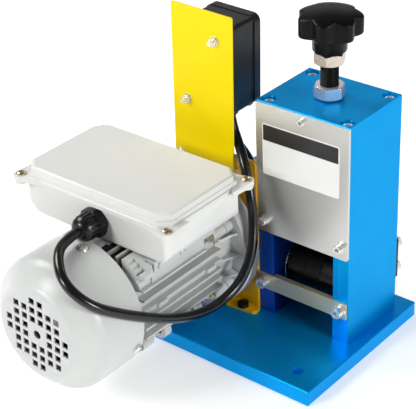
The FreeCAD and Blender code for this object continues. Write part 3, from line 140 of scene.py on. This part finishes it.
def pmat(name, col, rough, metal=0.0, var=0.04, vscale=60.0, rvar=0.05, rscale=90.0, bumps=((900.0, 0.00002, 3.0),), stretch=None, coat=0.0, coat_rough=0.06,
         spec=0.5, ior=1.5, aniso=0.0, tint=None, col2=None, mix=0.0, mixscale=20.0, speck=0.0, speckscale=700.0):
    """Painted, moulded or machined surface: two colours mixed by noise, uneven roughness and fine relief."""
    m = bpy.data.materials.new(name)
    m.use_nodes = True
    nt = m.node_tree
    nt.nodes.clear()
    out = nt.nodes.new("ShaderNodeOutputMaterial")
    bs = nt.nodes.new("ShaderNodeBsdfPrincipled")
    nt.links.new(bs.outputs[0], out.inputs[0])
    bs.inputs["Metallic"].default_value = metal
    bs.inputs["Specular IOR Level"].default_value = spec
    bs.inputs["IOR"].default_value = ior
    if tint:
        bs.inputs["Specular Tint"].default_value = tint
    bs.inputs["Coat Weight"].default_value = coat
    bs.inputs["Coat Roughness"].default_value = coat_rough
    bs.inputs["Anisotropic"].default_value = aniso
    tc = nt.nodes.new("ShaderNodeTexCoord")
    mp = nt.nodes.new("ShaderNodeMapping")
    if stretch:
        mp.inputs["Scale"].default_value = stretch
    nt.links.new(tc.outputs["Object"], mp.inputs["Vector"])

    def noise(scale, detail=4.0, rough_=0.55, dist=0.0, src=None):
        n = nt.nodes.new("ShaderNodeTexNoise")
        n.inputs["Scale"].default_value = scale
        n.inputs["Detail"].default_value = detail
        n.inputs["Roughness"].default_value = rough_
        n.inputs["Distortion"].default_value = dist
        nt.links.new((src or mp).outputs[0], n.inputs["Vector"])
        return n

    def rng(node, lo, hi, a=0.3, b=0.7):
        r = nt.nodes.new("ShaderNodeMapRange")
        r.inputs["From Min"].default_value = a
        r.inputs["From Max"].default_value = b
        r.inputs["To Min"].default_value = lo
        r.inputs["To Max"].default_value = hi
        nt.links.new(node.outputs[0], r.inputs["Value"])
        return r

    n1 = noise(vscale, 5.0)
    val = rng(n1, 1.0 - var, 1.0 + var)
    hsv = nt.nodes.new("ShaderNodeHueSaturation")
    hsv.inputs["Color"].default_value = col
    nt.links.new(val.outputs[0], hsv.inputs["Value"])
    src = hsv.outputs[0]
    if col2 is not None:
        n2 = noise(mixscale, 6.0, 0.6, 0.4)
        f = rng(n2, 0.0, mix, 0.35, 0.68)
        mx = nt.nodes.new("ShaderNodeMix")
        mx.data_type = "RGBA"
        nt.links.new(f.outputs[0], mx.inputs["Factor"])
        nt.links.new(src, mx.inputs["A"])
        mx.inputs["B"].default_value = col2
        src = mx.outputs["Result"]
    if speck > 0:
        n3 = noise(speckscale, 2.0)
        f3 = rng(n3, 0.0, speck, 0.62, 0.72)
        mx3 = nt.nodes.new("ShaderNodeMix")
        mx3.data_type = "RGBA"
        nt.links.new(f3.outputs[0], mx3.inputs["Factor"])
        nt.links.new(src, mx3.inputs["A"])
        mx3.inputs["B"].default_value = (col[0] * 0.35, col[1] * 0.35, col[2] * 0.35, 1)
        src = mx3.outputs["Result"]
    nt.links.new(src, bs.inputs["Base Color"])
    rr = rng(noise(rscale, 5.0, 0.6), max(0.02, rough - rvar), min(1.0, rough + rvar))
    nt.links.new(rr.outputs[0], bs.inputs["Roughness"])
    last = None
    for sc, dist, det in bumps:
        b = nt.nodes.new("ShaderNodeBump")
        b.inputs["Strength"].default_value = 1.0
        b.inputs["Distance"].default_value = dist
        nt.links.new(noise(sc, det).outputs[0], b.inputs["Height"])
        if last is not None:
            nt.links.new(last.outputs[0], b.inputs["Normal"])
        last = b
    if last is not None:
        nt.links.new(last.outputs[0], bs.inputs["Normal"])
        if coat > 0:
            pass
    return m


BLUE = pmat("blue_enamel", lin(0, 156, 226), 0.36, 0.68, 0.03, 25, 0.04, 60, ((1500, 0.000008, 3),), spec=0.5, ior=1.3, tint=(0.35, 0.8, 1.0, 1.0), col2=lin(0, 149, 220), mix=0.4, mixscale=9)
# darker blue for the left plate's front face: painted shade where the motor's shadow falls
BLUE_LEG_SHADE = pmat("blue_left_front_painted_shade", lin(0, 84, 196), 0.42, 0.4, 0.04, 25, 0.04, 60, ((1500, 0.000008, 3),), spec=0.3)
BLUE_BASE = pmat("blue_base_enamel", lin(0, 157, 232), 0.36, 0.6, 0.03, 25, 0.04, 60, ((1500, 0.000008, 3),), spec=0.5, ior=1.3, tint=(0.35, 0.7, 1.0, 1.0), col2=lin(0, 149, 226), mix=0.4, mixscale=9)
# darker blue for the side plates' inner faces: painted shade of the tower's interior
BLUE_IN_SHADE = pmat("blue_inner_painted_shade", lin(0, 40, 118), 0.5, 0.3, 0.05, 25, 0.04, 60, ((1500, 0.00001, 3),), spec=0.2)
BLACK_OX = pmat("black_oxide", lin(24, 24, 26), 0.42, 0.6, 0.15, 200, 0.08, 300, ((1800, 0.00001, 3),))
ZINC = pmat("bright_zinc", lin(228, 228, 224), 0.33, 0.6, 0.05, 300, 0.06, 400, ((2500, 0.000004, 3),), col2=lin(214, 208, 196), mix=0.3, mixscale=90)
STAIN = pmat("brushed_cover", lin(222, 221, 216), 0.34, 0.9, 0.006, 30, 0.012, 60, ((900, 0.000001, 3),), stretch=(0.05, 1.0, 3.0), aniso=0.3)
STSCREW = pmat("bright_screw", lin(234, 232, 228), 0.26, 0.8, 0.03, 300, 0.04, 400, ((2500, 0.000003, 3),))
BARM = pmat("yellow_zinc_bar", lin(216, 206, 172), 0.34, 0.6, 0.05, 80, 0.06, 100, ((900, 0.000006, 4),), stretch=(0.12, 1.0, 2.0), col2=lin(170, 160, 160), mix=0.5, mixscale=18)
STEEL = pmat("ground_steel", lin(190, 190, 192), 0.26, 1.0, 0.05, 200, 0.06, 300, ((2000, 0.000006, 3),))
TOOL = pmat("dark_tool_steel", lin(44, 42, 42), 0.34, 0.85, 0.12, 150, 0.1, 200, ((1400, 0.00002, 4),), stretch=(2.5, 1, 1))
BLADE = pmat("blade_steel", lin(175, 176, 180), 0.24, 1.0, 0.06, 120, 0.07, 300, ((1500, 0.000008, 3),))
THREAD = pmat("black_thread", lin(30, 28, 27), 0.38, 0.75, 0.12, 300, 0.08, 400, ((2200, 0.00001, 3),))
NUT_B = pmat("blue_zinc_nut", lin(226, 222, 228), 0.24, 0.75, 0.01, 100, 0.01, 300, ((2400, 0.000002, 3),))
NUT_S = pmat("stainless_nut", lin(205, 196, 184), 0.26, 1.0, 0.06, 200, 0.06, 300, ((2400, 0.000007, 3),), col2=lin(190, 170, 160), mix=0.4, mixscale=60)
KNOB = pmat("knob_black", lin(6, 6, 6), 0.32, 0.0, 0.2, 120, 0.06, 200, ((1600, 0.00002, 3),), spec=0.14)
BLACKP = pmat("gland_black", lin(7, 7, 8), 0.3, 0.0, 0.2, 160, 0.06, 220, ((1600, 0.000012, 3),), spec=0.4)
ALLOY = pmat("gearbox_alloy", lin(172, 175, 178), 0.5, 0.85, 0.06, 90, 0.08, 200, ((1100, 0.00006, 4), (240, 0.00008, 3)))
BRONZE = pmat("bronze", lin(190, 150, 90), 0.3, 1.0, 0.06, 90, 0.08, 200, ((1500, 0.00001, 3),))
GREYC = pmat("grey_cast_paint", lin(188, 190, 188), 0.46, 0.0, 0.05, 70, 0.06, 120, ((700, 0.00008, 4), (180, 0.00010, 3)), coat=0.1, coat_rough=0.25, col2=lin(178, 180, 178), mix=0.4, mixscale=25)
GREYS = pmat("grey_sheet_paint", lin(197, 199, 197), 0.4, 0.0, 0.02, 30, 0.05, 80, ((900, 0.00003, 4), (150, 0.00005, 3)), coat=0.1, coat_rough=0.2)
GREYB = pmat("grey_box_paint", lin(214, 215, 212), 0.42, 0.0, 0.02, 30, 0.05, 80, ((1000, 0.00004, 4), (120, 0.00005, 3)), coat=0.08, coat_rough=0.25)
LAMI = pmat("laminations", lin(90, 92, 95), 0.4, 0.9, 0.2, 400, 0.08, 300, ((900, 0.00004, 2),), stretch=(0.2, 6.0, 0.2))
COPPER = pmat("varnished_winding", lin(170, 88, 40), 0.35, 0.7, 0.25, 300, 0.08, 300, ((600, 0.0002, 2),))
FANP = pmat("fan_plastic", lin(34, 34, 36), 0.5, 0.0, 0.15, 120, 0.06, 200, ((1200, 0.00003, 3),))
BRASS = pmat("brassy_screw", lin(214, 204, 178), 0.28, 1.0, 0.08, 300, 0.08, 300, ((2000, 0.00001, 3),), col2=lin(200, 175, 120), mix=0.6, mixscale=150)
CREAM = pmat("cream_plastic", lin(222, 214, 190), 0.45, 0.0, 0.05, 100, 0.05, 200, ((1200, 0.00002, 3),))
AMBER = pmat("amber_paint", lin(240, 182, 8), 0.32, 0.0, 0.06, 40, 0.06, 80, ((1100, 0.00003, 4),), spec=0.4, col2=lin(218, 150, 0), mix=0.5, mixscale=20)
YELLOW = pmat("yellow_enamel", lin(248, 219, 0), 0.22, 0.0, 0.012, 20, 0.03, 60, ((1300, 0.000006, 3),), spec=0.3, tint=(1.0, 0.8, 0.3, 1.0))
BOXB = pmat("switch_box_black", lin(18, 18, 19), 0.42, 0.0, 0.18, 140, 0.06, 200, ((1500, 0.00004, 3),), spec=0.4)
GREENP = pmat("green_button", lin(20, 140, 60), 0.3, 0.0, 0.06, 100, 0.05, 200, ((1400, 0.00001, 3),))
REDP = pmat("red_button", lin(190, 24, 24), 0.3, 0.0, 0.06, 100, 0.05, 200, ((1400, 0.00001, 3),))
CORDM = pmat("cord_sheath", lin(9, 9, 10), 0.24, 0.0, 0.06, 60, 0.02, 90, ((900, 0.000004, 3),), spec=0.5)
PLUGM = pmat("plug_black", lin(22, 22, 23), 0.42, 0.0, 0.15, 120, 0.06, 200, ((1400, 0.00003, 3),))
LABEL = pmat("label_white", lin(238, 238, 234), 0.34, 0.0, 0.02, 60, 0.04, 90, ((900, 0.000012, 3),), coat=0.2, coat_rough=0.1)
LABELD = pmat("label_dark", lin(34, 32, 34), 0.34, 0.0, 0.08, 60, 0.04, 90, ((900, 0.000012, 3),), coat=0.2, coat_rough=0.1)

# painted shade for the grooves between the motor's fins: near black for floors and back walls, mid grey for fin sides
GROOVE_SHADE = pmat("groove_painted_shadow", lin(34, 32, 30), 0.6, 0.0, 0.1, 60, 0.05, 90, ((900, 0.00003, 3),), spec=0.2)
GROOVE_SIDE_SHADE = pmat("groove_side_painted_shade", lin(128, 128, 124), 0.5, 0.0, 0.08, 60, 0.05, 90, ((900, 0.00004, 3),), spec=0.3)
SLOT_MAT = {"blue_paint": BLUE, "black_steel": BLACK_OX, "zinc_screws": ZINC, "stainless_sheet": STAIN, "stainless_screws": STSCREW, "zinc_sheet": BARM, "bearing_steel": STEEL,
            "dark_tool_steel": TOOL, "blade_steel": BLADE, "black_screw": THREAD, "zinc_nut": NUT_B, "stainless_nut": NUT_S, "black_plastic": KNOB, "gearbox_alloy": ALLOY, "bronze": BRONZE,
            "grey_alloy": GREYC, "lamination": LAMI, "copper_winding": COPPER, "fan_plastic": FANP, "grey_sheet": GREYS, "grey_box": GREYB, "brass_screws": BRASS, "cream_plastic": CREAM,
            "amber_paint": AMBER, "yellow_paint": YELLOW, "black_box": BOXB, "green_plastic": GREENP, "red_plastic": REDP, "cord_pvc": CORDM, "plug_black": PLUGM}
SLOT_OF = {s["node"]: s["material_slot"] for s in frame["record"]["subparts"]}
BODY_OF = {}
for b_, ns_ in frame["record"]["behaviour"]["bodies"].items():
    for n_ in ns_:
        BODY_OF[n_] = b_
for n, o in NODES.items():
    o.data.materials.clear()
    o.data.materials.append(BLACKP if "gland" in n else SLOT_MAT[SLOT_OF[n]])


# ------------------------------------------------------------------ mesh helpers
def finish_mesh(me, angle=35.0):
    for p in me.polygons:
        p.use_smooth = True
    me.set_sharp_from_angle(angle=math.radians(angle))


def add(name, me, mat, body=None, replaces=()):
    ob = bpy.data.objects.new(name, me)
    SCN.collection.objects.link(ob)
    if mat is not None:
        me.materials.append(mat)
    if body:
        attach(ob, body)
    if replaces:
        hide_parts(*replaces)
    return ob


def bevel_mod(ob, width, seg=2, angle=32.0):
    b = ob.modifiers.new("bevel", "BEVEL")
    b.width = width * MM
    b.segments = seg
    b.limit_method = "ANGLE"
    b.angle_limit = math.radians(angle)
    b.harden_normals = True
    b.use_clamp_overlap = True
    b.miter_outer = "MITER_ARC"
    return b


def clone(node, bevel=0.4, seg=2, angle=32.0, mat=None):
    """The piece with softened edges, standing for its plain version."""
    src = NODES[node]
    bm = bmesh.new()
    bm.from_mesh(src.data)
    bmesh.ops.remove_doubles(bm, verts=bm.verts, dist=2e-6)
    bmesh.ops.dissolve_limit(bm, angle_limit=math.radians(0.6), verts=bm.verts, edges=bm.edges)
    me = bpy.data.meshes.new(node + "_v")
    bm.to_mesh(me)
    bm.free()
    me.materials.clear()
    finish_mesh(me, angle)
    ob = add(node + "_v", me, mat or (BLACKP if "gland" in node else SLOT_MAT[SLOT_OF[node]]), BODY_OF[node], (node,))
    if bevel:
        bevel_mod(ob, bevel, seg, angle)
    return ob


def frame_axes(axis):
    return {"x": (Vector((1, 0, 0)), Vector((0, 1, 0)), Vector((0, 0, 1))), "y": (Vector((0, 1, 0)), Vector((0, 0, 1)), Vector((1, 0, 0))),
            "z": (Vector((0, 0, 1)), Vector((1, 0, 0)), Vector((0, 1, 0)))}[axis]


def lathe(name, axis, centre, prof, seg=96, angle=35.0):
    """Surface of revolution from (along, radius) points in mm; a zero radius closes on the axis."""
    A, B, C = frame_axes(axis)
    c0 = Vector(centre)
    verts, faces, rows = [], [], []
    for a, r in prof:
        if r <= 1e-9:
            rows.append([len(verts)])
            verts.append((c0 + A * a) * MM)
        else:
            rows.append(list(range(len(verts), len(verts) + seg)))
            for k in range(seg):
                t = 2 * math.pi * k / seg
                verts.append((c0 + A * a + B * (r * math.cos(t)) + C * (r * math.sin(t))) * MM)
    for i in range(len(rows)):
        p, q = rows[i], rows[(i + 1) % len(rows)]
        if i == len(rows) - 1 and (len(p) == 1 or len(q) == 1):
            continue
        for k in range(seg):
            k2 = (k + 1) % seg
            if len(p) == 1 and len(q) == 1:
                continue
            if len(p) == 1:
                faces.append((p[0], q[k2], q[k]))
            elif len(q) == 1:
                faces.append((p[k], p[k2], q[0]))
            else:
                faces.append((p[k], p[k2], q[k2], q[k]))
    me = bpy.data.meshes.new(name)
    me.from_pydata([tuple(v) for v in verts], [], faces)
    bm = bmesh.new()
    bm.from_mesh(me)
    bmesh.ops.recalc_face_normals(bm, faces=bm.faces)
    bm.to_mesh(me)
    bm.free()
    finish_mesh(me, angle)
    return me


def loft(name, rings, cap0=True, cap1=True, angle=35.0):
    """Skin through closed rings of equal point count, in mm."""
    verts, faces = [], []
    n = len(rings[0])
    for r in rings:
        for p in r:
            verts.append(tuple(x * MM for x in p))
    for i in range(len(rings) - 1):
        for k in range(n):
            k2 = (k + 1) % n
            faces.append((i * n + k, i * n + k2, (i + 1) * n + k2, (i + 1) * n + k))
    if cap0:
        faces.append(tuple(range(n - 1, -1, -1)))
    if cap1:
        faces.append(tuple(range((len(rings) - 1) * n, len(rings) * n)))
    me = bpy.data.meshes.new(name)
    me.from_pydata(verts, [], faces)
    bm = bmesh.new()
    bm.from_mesh(me)
    bmesh.ops.recalc_face_normals(bm, faces=bm.faces)
    bm.to_mesh(me)
    bm.free()
    finish_mesh(me, angle)
    return me


def merge(name, meshes, angle=35.0):
    bm = bmesh.new()
    for m in meshes:
        bm.from_mesh(m)
    me = bpy.data.meshes.new(name)
    bm.to_mesh(me)
    bm.free()
    finish_mesh(me, angle)
    for m in meshes:
        bpy.data.meshes.remove(m)
    return me


# ------------------------------------------------------------------ stripping head and base
for n, w in (("base_plate", 0.5), ("left_side_plate", 0.6), ("right_side_plate", 0.6), ("top_plate", 0.6), ("front_cover", 0.25), ("front_bar", 0.3), ("inlet_guide_plate", 0.3),
             ("front_screws", 0.25), ("top_plate_screws", 0.25), ("inlet_guide_bolts", 0.2), ("lock_nut", 0.25), ("knob_nut", 0.25), ("blade_carriage", 0.4), ("wall_bracket", 0.3),
             ("wall_bracket_bolt", 0.25), ("switch_plate", 0.3), ("switch_mount_bolts", 0.2), ("switch_box", 0.6), ("switch_box_lid", 0.7), ("switch_lid_screws", 0.15),
             ("start_button", 0.5), ("stop_button", 0.5), ("switch_cable_glands", 0.3), ("gearbox_housing", 0.8), ("gearbox_covers", 0.5), ("gearbox_cover_screws", 0.25),
             ("motor_frame", 0.7), ("drive_end_shield", 0.8), ("rear_end_shield", 0.6), ("motor_screws", 0.2), ("fan_cover", 0.3), ("terminal_box", 0.8), ("terminal_box_lid", 1.2),
             ("terminal_box_screws", 0.2), ("motor_cable_gland", 0.35)):
    clone(n, w)

# the base plate's own coat
for i_ in range(len(bpy.data.objects["base_plate_v"].data.materials)):
    bpy.data.objects["base_plate_v"].data.materials[i_] = BLUE_BASE

# inner faces of the two side plates: darker blue, painted shade of the tower's dark interior
for n, sx in (("left_side_plate_v", 1.0), ("right_side_plate_v", -1.0)):
    ob_ = bpy.data.objects[n]
    ob_.data.materials.append(BLUE_IN_SHADE)
    for p_ in ob_.data.polygons:
        if p_.normal.x * sx > 0.9 and 0.017 < p_.center.x < 0.111 and (p_.center.x > 0.026 if sx > 0 else p_.center.x < 0.102):
            p_.material_index = 1
    # left plate's front face: darker blue, painted shade of the motor's shadow
    if sx > 0:
        ob_.data.materials.append(BLUE_LEG_SHADE)
        for p_ in ob_.data.polygons:
            if p_.normal.y < -0.9:
                p_.material_index = 2

# grooves between the motor's upright fins under the terminal box: dull, with painted shade, near black on the groove
# floors and back walls and mid grey on the fin sides
mfv = bpy.data.objects["motor_frame_v"]
g0_ = len(mfv.data.materials)
mfv.data.materials.append(GROOVE_SHADE)
mfv.data.materials.append(GROOVE_SIDE_SHADE)
for p_ in mfv.data.polygons:
    c_, n_ = p_.center, p_.normal
    if -0.034 < c_.x < -0.0084 and c_.z > 0.1215:
        if n_.y < -0.9 and c_.y > -0.1290:
            p_.material_index = g0_
        elif n_.z > 0.5 and abs(math.hypot(c_.x + 0.0445, c_.z - 0.086) - 0.0529) < 0.0006:
            p_.material_index = g0_
        elif n_.x > 0.9 and c_.x < -0.0094:
            p_.material_index = g0_ + 1

# the fan cover's own screws are bright, the others yellowish
msv = bpy.data.objects["motor_screws_v"]
msv.data.materials.append(STSCREW)                  # bright_fan_screws
for p_ in msv.data.polygons:
    if p_.center.y < -0.1655:
        p_.material_index = 1

# label: plain sheet with a dark header band
def slab(name, x0, x1, y0, y1, z0, z1, r, mat):
    ring0, ring1 = [], []
    for cx, cz, a0 in ((x1 - r, z1 - r, 0), (x0 + r, z1 - r, 90), (x0 + r, z0 + r, 180), (x1 - r, z0 + r, 270)):
        for k in range(7):
            t = math.radians(a0 + 15.0 * k)
            ring0.append((cx + r * math.cos(t), y0, cz + r * math.sin(t)))
            ring1.append((cx + r * math.cos(t), y1, cz + r * math.sin(t)))
    return add(name, loft(name, [ring0, ring1], angle=30.0), mat, "root")


slab("label_plain", 23.0, 102.5, -9.22, -9.0, 160.5, 209.3, 1.6, LABEL)
slab("label_band", 23.9, 101.6, -9.30, -9.2, 193.5, 208.4, 0.9, LABELD)


# threaded pressure screw
def threaded(name, cx, cy, z0, z1, R, pitch, depth, seg=64):
    rings = []
    per = 8
    n = int((z1 - z0) / pitch * per)
    shape = [0.0, 0.35, 0.75, 1.0, 1.0, 0.75, 0.35, 0.0]
    verts, faces = [], []
    for i in range(n + 1):
        for k in range(seg):
            u = (i / per - k / seg) % 1.0 * per
            j = int(u)
            f = u - j
            d = shape[j % per] * (1 - f) + shape[(j + 1) % per] * f
            edge = min(1.0, min(i, n - i) / (per * 0.7))
            r = R - depth * (1.0 - d * edge if edge < 1 else 1.0 - d)
            t = 2 * math.pi * k / seg
            verts.append(((cx + r * math.cos(t)) * MM, (cy + r * math.sin(t)) * MM, (z0 + (z1 - z0) * i / n) * MM))
    for i in range(n):
        for k in range(seg):
            k2 = (k + 1) % seg
            faces.append((i * seg + k, i * seg + k2, (i + 1) * seg + k2, (i + 1) * seg + k))
    faces.append(tuple(range(seg - 1, -1, -1)))
    faces.append(tuple(range(n * seg, n * seg + seg)))
    me = bpy.data.meshes.new(name)
    me.from_pydata(verts, [], faces)
    finish_mesh(me, 60.0)
    return me


ps = merge("pressure_screw_v", [threaded("t0", 64.0, 31.5, 160.5, 291.7, 8.0, 2.0, 1.2), lathe("t1", "z", (64.0, 31.5, 0), [(151.8, 0), (151.8, 10.0), (152.3, 10.5), (155.0, 10.5), (155.5, 10.0), (155.5, 8.0), (160.6, 7.9), (160.6, 0)])], 60.0)
add("pressure_screw_v", ps, THREAD, BODY_OF["pressure_screw"], ("pressure_screw",))


# star knob: seven upright lobes cut by a shallow dome
def star_knob():
    cx, cy, ph = 64.0, 31.5, math.radians(-69.7)
    seg = 7 * 40

    def rad(t):
        c = 0.5 + 0.5 * math.cos(7 * (t - ph))
        return c ** 0.72
    dome = lambda r: 309.95 - 0.00865 * r * r
    rings = []

    def ring(rv, ro, z=None, drop=0.0, scale=1.0):
        out = []
        for k in range(seg):
            t = 2 * math.pi * k / seg
            r = (rv + (ro - rv) * rad(t)) * scale
            out.append((cx + r * math.cos(t), cy + r * math.sin(t), dome(r) - drop if z is None else z))
        rings.append(out)
    for rv, ro, z in ((13.5, 13.5, 289.2), (16.0, 17.5, 288.9), (19.5, 22.5, 288.3), (21.0, 25.5, 287.8), (21.6, 26.5, 287.65), (22.1, 27.2, 287.9), (22.4, 27.75, 288.6), (22.5, 28.0, 289.8), (22.5, 28.0, 296.0)):
        ring(rv, ro, z)
    ring(22.5, 28.0, None, 1.1)
    ring(22.42, 27.92, None, 0.7)
    ring(22.2, 27.7, None, 0.36)
    ring(21.85, 27.3, None, 0.14)
    ring(21.4, 26.8, None, 0.03)
    for s_ in (0.97, 0.9, 0.8, 0.68, 0.55, 0.4, 0.25, 0.1):
        rr_ = 21.4 * s_
        ring(rr_, 26.8 * s_ * (1.0 if s_ > 0.6 else 1.0), None, 0.0)
    body = loft("k0", rings, angle=50.0)
    hub = lathe("k1", "z", (cx, cy, 0), [(271.0, 8.2), (271.0, 11.8), (271.3, 12.3), (272.9, 14.3), (273.6, 14.8), (289.4, 14.8), (289.4, 8.2)], 96, 50.0)
    return merge("star_knob_v", [body, hub], 50.0)


add("star_knob_v", star_knob(), KNOB, BODY_OF["star_knob"], ("star_knob",))


# feed roller with a diamond-knurled middle band and fine turning marks
def roller():
    cy, cz = 31.5, 56.0
    prof = [(37.0, 10.2), (37.0, 24.6), (37.25, 25.2), (37.8, 25.5)]
    x = 38.2
    while x < 54.0:
        prof += [(x, 25.5), (x + 0.35, 25.42)]
        x += 0.8
    prof += [(54.3, 25.5), (54.6, 25.2), (54.7, 24.7)]
    a = lathe("r0", "x", (0, cy, cz), prof, 128, 50.0)
    seg, nx = 240, 90
    verts, faces = [], []
    for i in range(nx + 1):
        xx = 54.7 + (69.9 - 54.7) * i / nx
        for k in range(seg):
            t = 2 * math.pi * k / seg
            s = 25.0 * t
            u = (s + (xx - 54.7)) / 1.6
            v = (s - (xx - 54.7)) / 1.6
            pu = math.cos(2 * math.pi * round(157.08 / 1.6 * 0.62) * t / (2 * math.pi) + (xx - 54.7) * 2.4)
            pv = math.cos(2 * math.pi * round(157.08 / 1.6 * 0.62) * t / (2 * math.pi) - (xx - 54.7) * 2.4)
            r = 25.05 + 0.22 * (pu + pv) / 2.0
            verts.append((xx * MM, (cy + r * math.cos(t)) * MM, (cz + r * math.sin(t)) * MM))
    for i in range(nx):
        for k in range(seg):
            k2 = (k + 1) % seg
            faces.append((i * seg + k, (i + 1) * seg + k, (i + 1) * seg + k2, i * seg + k2))
    b = bpy.data.meshes.new("r1")
    b.from_pydata(verts, [], faces)
    prof = [(69.9, 24.7), (70.0, 24.2), (70.4, 22.5), (71.4, 22.5), (71.8, 25.0), (72.1, 25.5)]
    x = 72.5
    while x < 90.0:
        prof += [(x, 25.5), (x + 0.35, 25.42)]
        x += 0.8
    prof += [(90.3, 25.5), (90.8, 25.1), (91.0, 24.6), (91.0, 10.2)]
    c = lathe("r2", "x", (0, cy, cz), prof, 128, 50.0)
    return merge("feed_roller_v", [a, b, c], 50.0)


add("feed_roller_v", roller(), TOOL, BODY_OF["feed_roller"], ("feed_roller",))


# ------------------------------------------------------------------ plug and cords
def plug():
    d = Vector((13.4 + 0.1, 126.6 - 130.5, 0)).normalized()
    o = Vector((13.4, 126.6, 9.3))
    xx = Vector((0, 0, 1)).cross(d)
    M3 = lambda x, y, z: tuple((o + xx * x + Vector((0, 0, 1)) * y + d * z))
    rings = []
    for z, rx, ry, e in ((0.0, 3.0, 3.0, 2.0), (0.2, 4.2, 4.2, 2.0), (1.0, 4.6, 4.6, 2.0), (16.0, 6.4, 6.4, 2.0), (17.5, 8.0, 7.6, 2.2), (20.0, 10.4, 8.6, 2.8), (23.0, 11.8, 9.0, 3.4), (26.0, 12.0, 9.0, 4.0), (38.5, 12.0, 9.0, 4.0), (39.6, 11.4, 8.4, 4.0), (40.0, 10.6, 7.6, 4.0)):
        ring = []
        for k in range(48):
            t = 2 * math.pi * k / 48
            c, s = math.cos(t), math.sin(t)
            ring.append(M3(rx * math.copysign(abs(c) ** (2.0 / e), c), ry * math.copysign(abs(s) ** (2.0 / e), s), z))
        rings.append(ring)
    body = loft("p0", rings, angle=40.0)
    ribs = []
    for z in (3.0, 6.0, 9.0, 12.0):
        r_ = 4.6 + 1.8 * (z - 1.0) / 15.0 + 0.5
        ribs.append(loft("p1", [[M3(r_ * math.cos(2 * math.pi * k / 32), r_ * math.sin(2 * math.pi * k / 32), z + dz) for k in range(32)] for dz in (0.0, 1.2)], angle=40.0))
    me = merge("plug_v", [body] + ribs, 40.0)
    ob = add("plug_v", me, PLUGM, "root", ("mains_plug",))
    pins = []
    for dx in (-6.35, 6.35):
        rr = []
        for z, w in ((39.5, 0.0), (56.0, 0.0), (57.0, 0.5)):
            rr.append([M3(dx - 0.75 + w * 0.5, -1.0 + w, z), M3(dx + 0.75 - w * 0.5, -1.0 + w, z), M3(dx + 0.75 - w * 0.5, 5.3 - w, z), M3(dx - 0.75 + w * 0.5, 5.3 - w, z)])
        pins.append(loft("p2", rr, angle=30.0))
    rr = [[M3(r_ * math.cos(2 * math.pi * k / 24), -5.5 + r_ * math.sin(2 * math.pi * k / 24), z) for k in range(24)] for z, r_ in ((39.5, 2.4), (57.6, 2.4), (58.6, 1.9), (59.0, 1.0))]
    pins.append(loft("p3", rr, angle=40.0))
    po = add("plug_pins_v", merge("plug_pins_v", pins, 40.0), BRASS, "root")
    return ob, po


plug_v, pins_v = plug()
for ob in (motor_cable, mains_lead):
    ob.data.materials.append(CORDM)
    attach(ob, "root")
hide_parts("motor_cable")
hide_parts("mains_cord", "mains_cord_coil", "mains_cord_tail")


# ------------------------------------------------------------------ floor, light and sky
def stage_plane(name, size, z, mat):
    me = bpy.data.meshes.new(name)
    me.from_pydata([(-size, -size, z), (size, -size, z), (size, size, z), (-size, size, z)], [], [(0, 1, 2, 3)])
    ob = bpy.data.objects.new(name, me)
    SCN.collection.objects.link(ob)
    me.materials.append(mat)
    return ob


FLOOR = pmat("studio_floor", lin(231, 231, 231), 0.6, 0.0, 0.005, 4, 0.02, 6, ((40, 0.00005, 2),))
for n_ in FLOOR.node_tree.nodes:
    if n_.type == "BSDF_PRINCIPLED":
        n_.inputs["Emission Color"].default_value = (1.0, 1.0, 1.0, 1.0)
        n_.inputs["Emission Strength"].default_value = 0.42
stage_plane("studio_floor", 6.0, -0.0002, FLOOR)

world = bpy.data.worlds.new("studio_sky")
SCN.world = world
world.use_nodes = True
wn = world.node_tree
wn.nodes.clear()
wo = wn.nodes.new("ShaderNodeOutputWorld")
wb = wn.nodes.new("ShaderNodeBackground")
wb.inputs["Color"].default_value = (1.0, 1.0, 1.0, 1.0)
wb.inputs["Strength"].default_value = 0.16
wn.links.new(wb.outputs[0], wo.inputs[0])


def area(name, loc, target, size, power, color=(1, 1, 1), size_y=None):
    ld = bpy.data.lights.new(name, "AREA")
    ld.shape = "RECTANGLE"
    ld.size = size
    ld.size_y = size_y or size
    ld.energy = power
    ld.color = color
    ob = bpy.data.objects.new(name, ld)
    SCN.collection.objects.link(ob)
    ob.location = loc
    d = Vector(target) - Vector(loc)
    ob.rotation_euler = d.to_track_quat("-Z", "Y").to_euler()
    return ob


area("key_right", (3.45, -0.2, 1.3), (0.0, 0.0, 0.1), 1.1, 84.0)
area("front_left", (-1.3, -3.2, 2.0), (0.0, 0.0, 0.1), 1.1, 86.0)
area("top_left", (-1.6, -0.2, 1.8), (0.0, 0.0, 0.1), 0.9, 32.0)
area("back_soft", (-1.5, 2.2, 1.6), (0.06, 0.03, 0.2), 1.7, 4.5)

SCN.view_settings.view_transform = "Standard"
SCN.view_settings.look = "None"
SCN.view_settings.exposure = 0.0
SCN.view_settings.gamma = 1.0
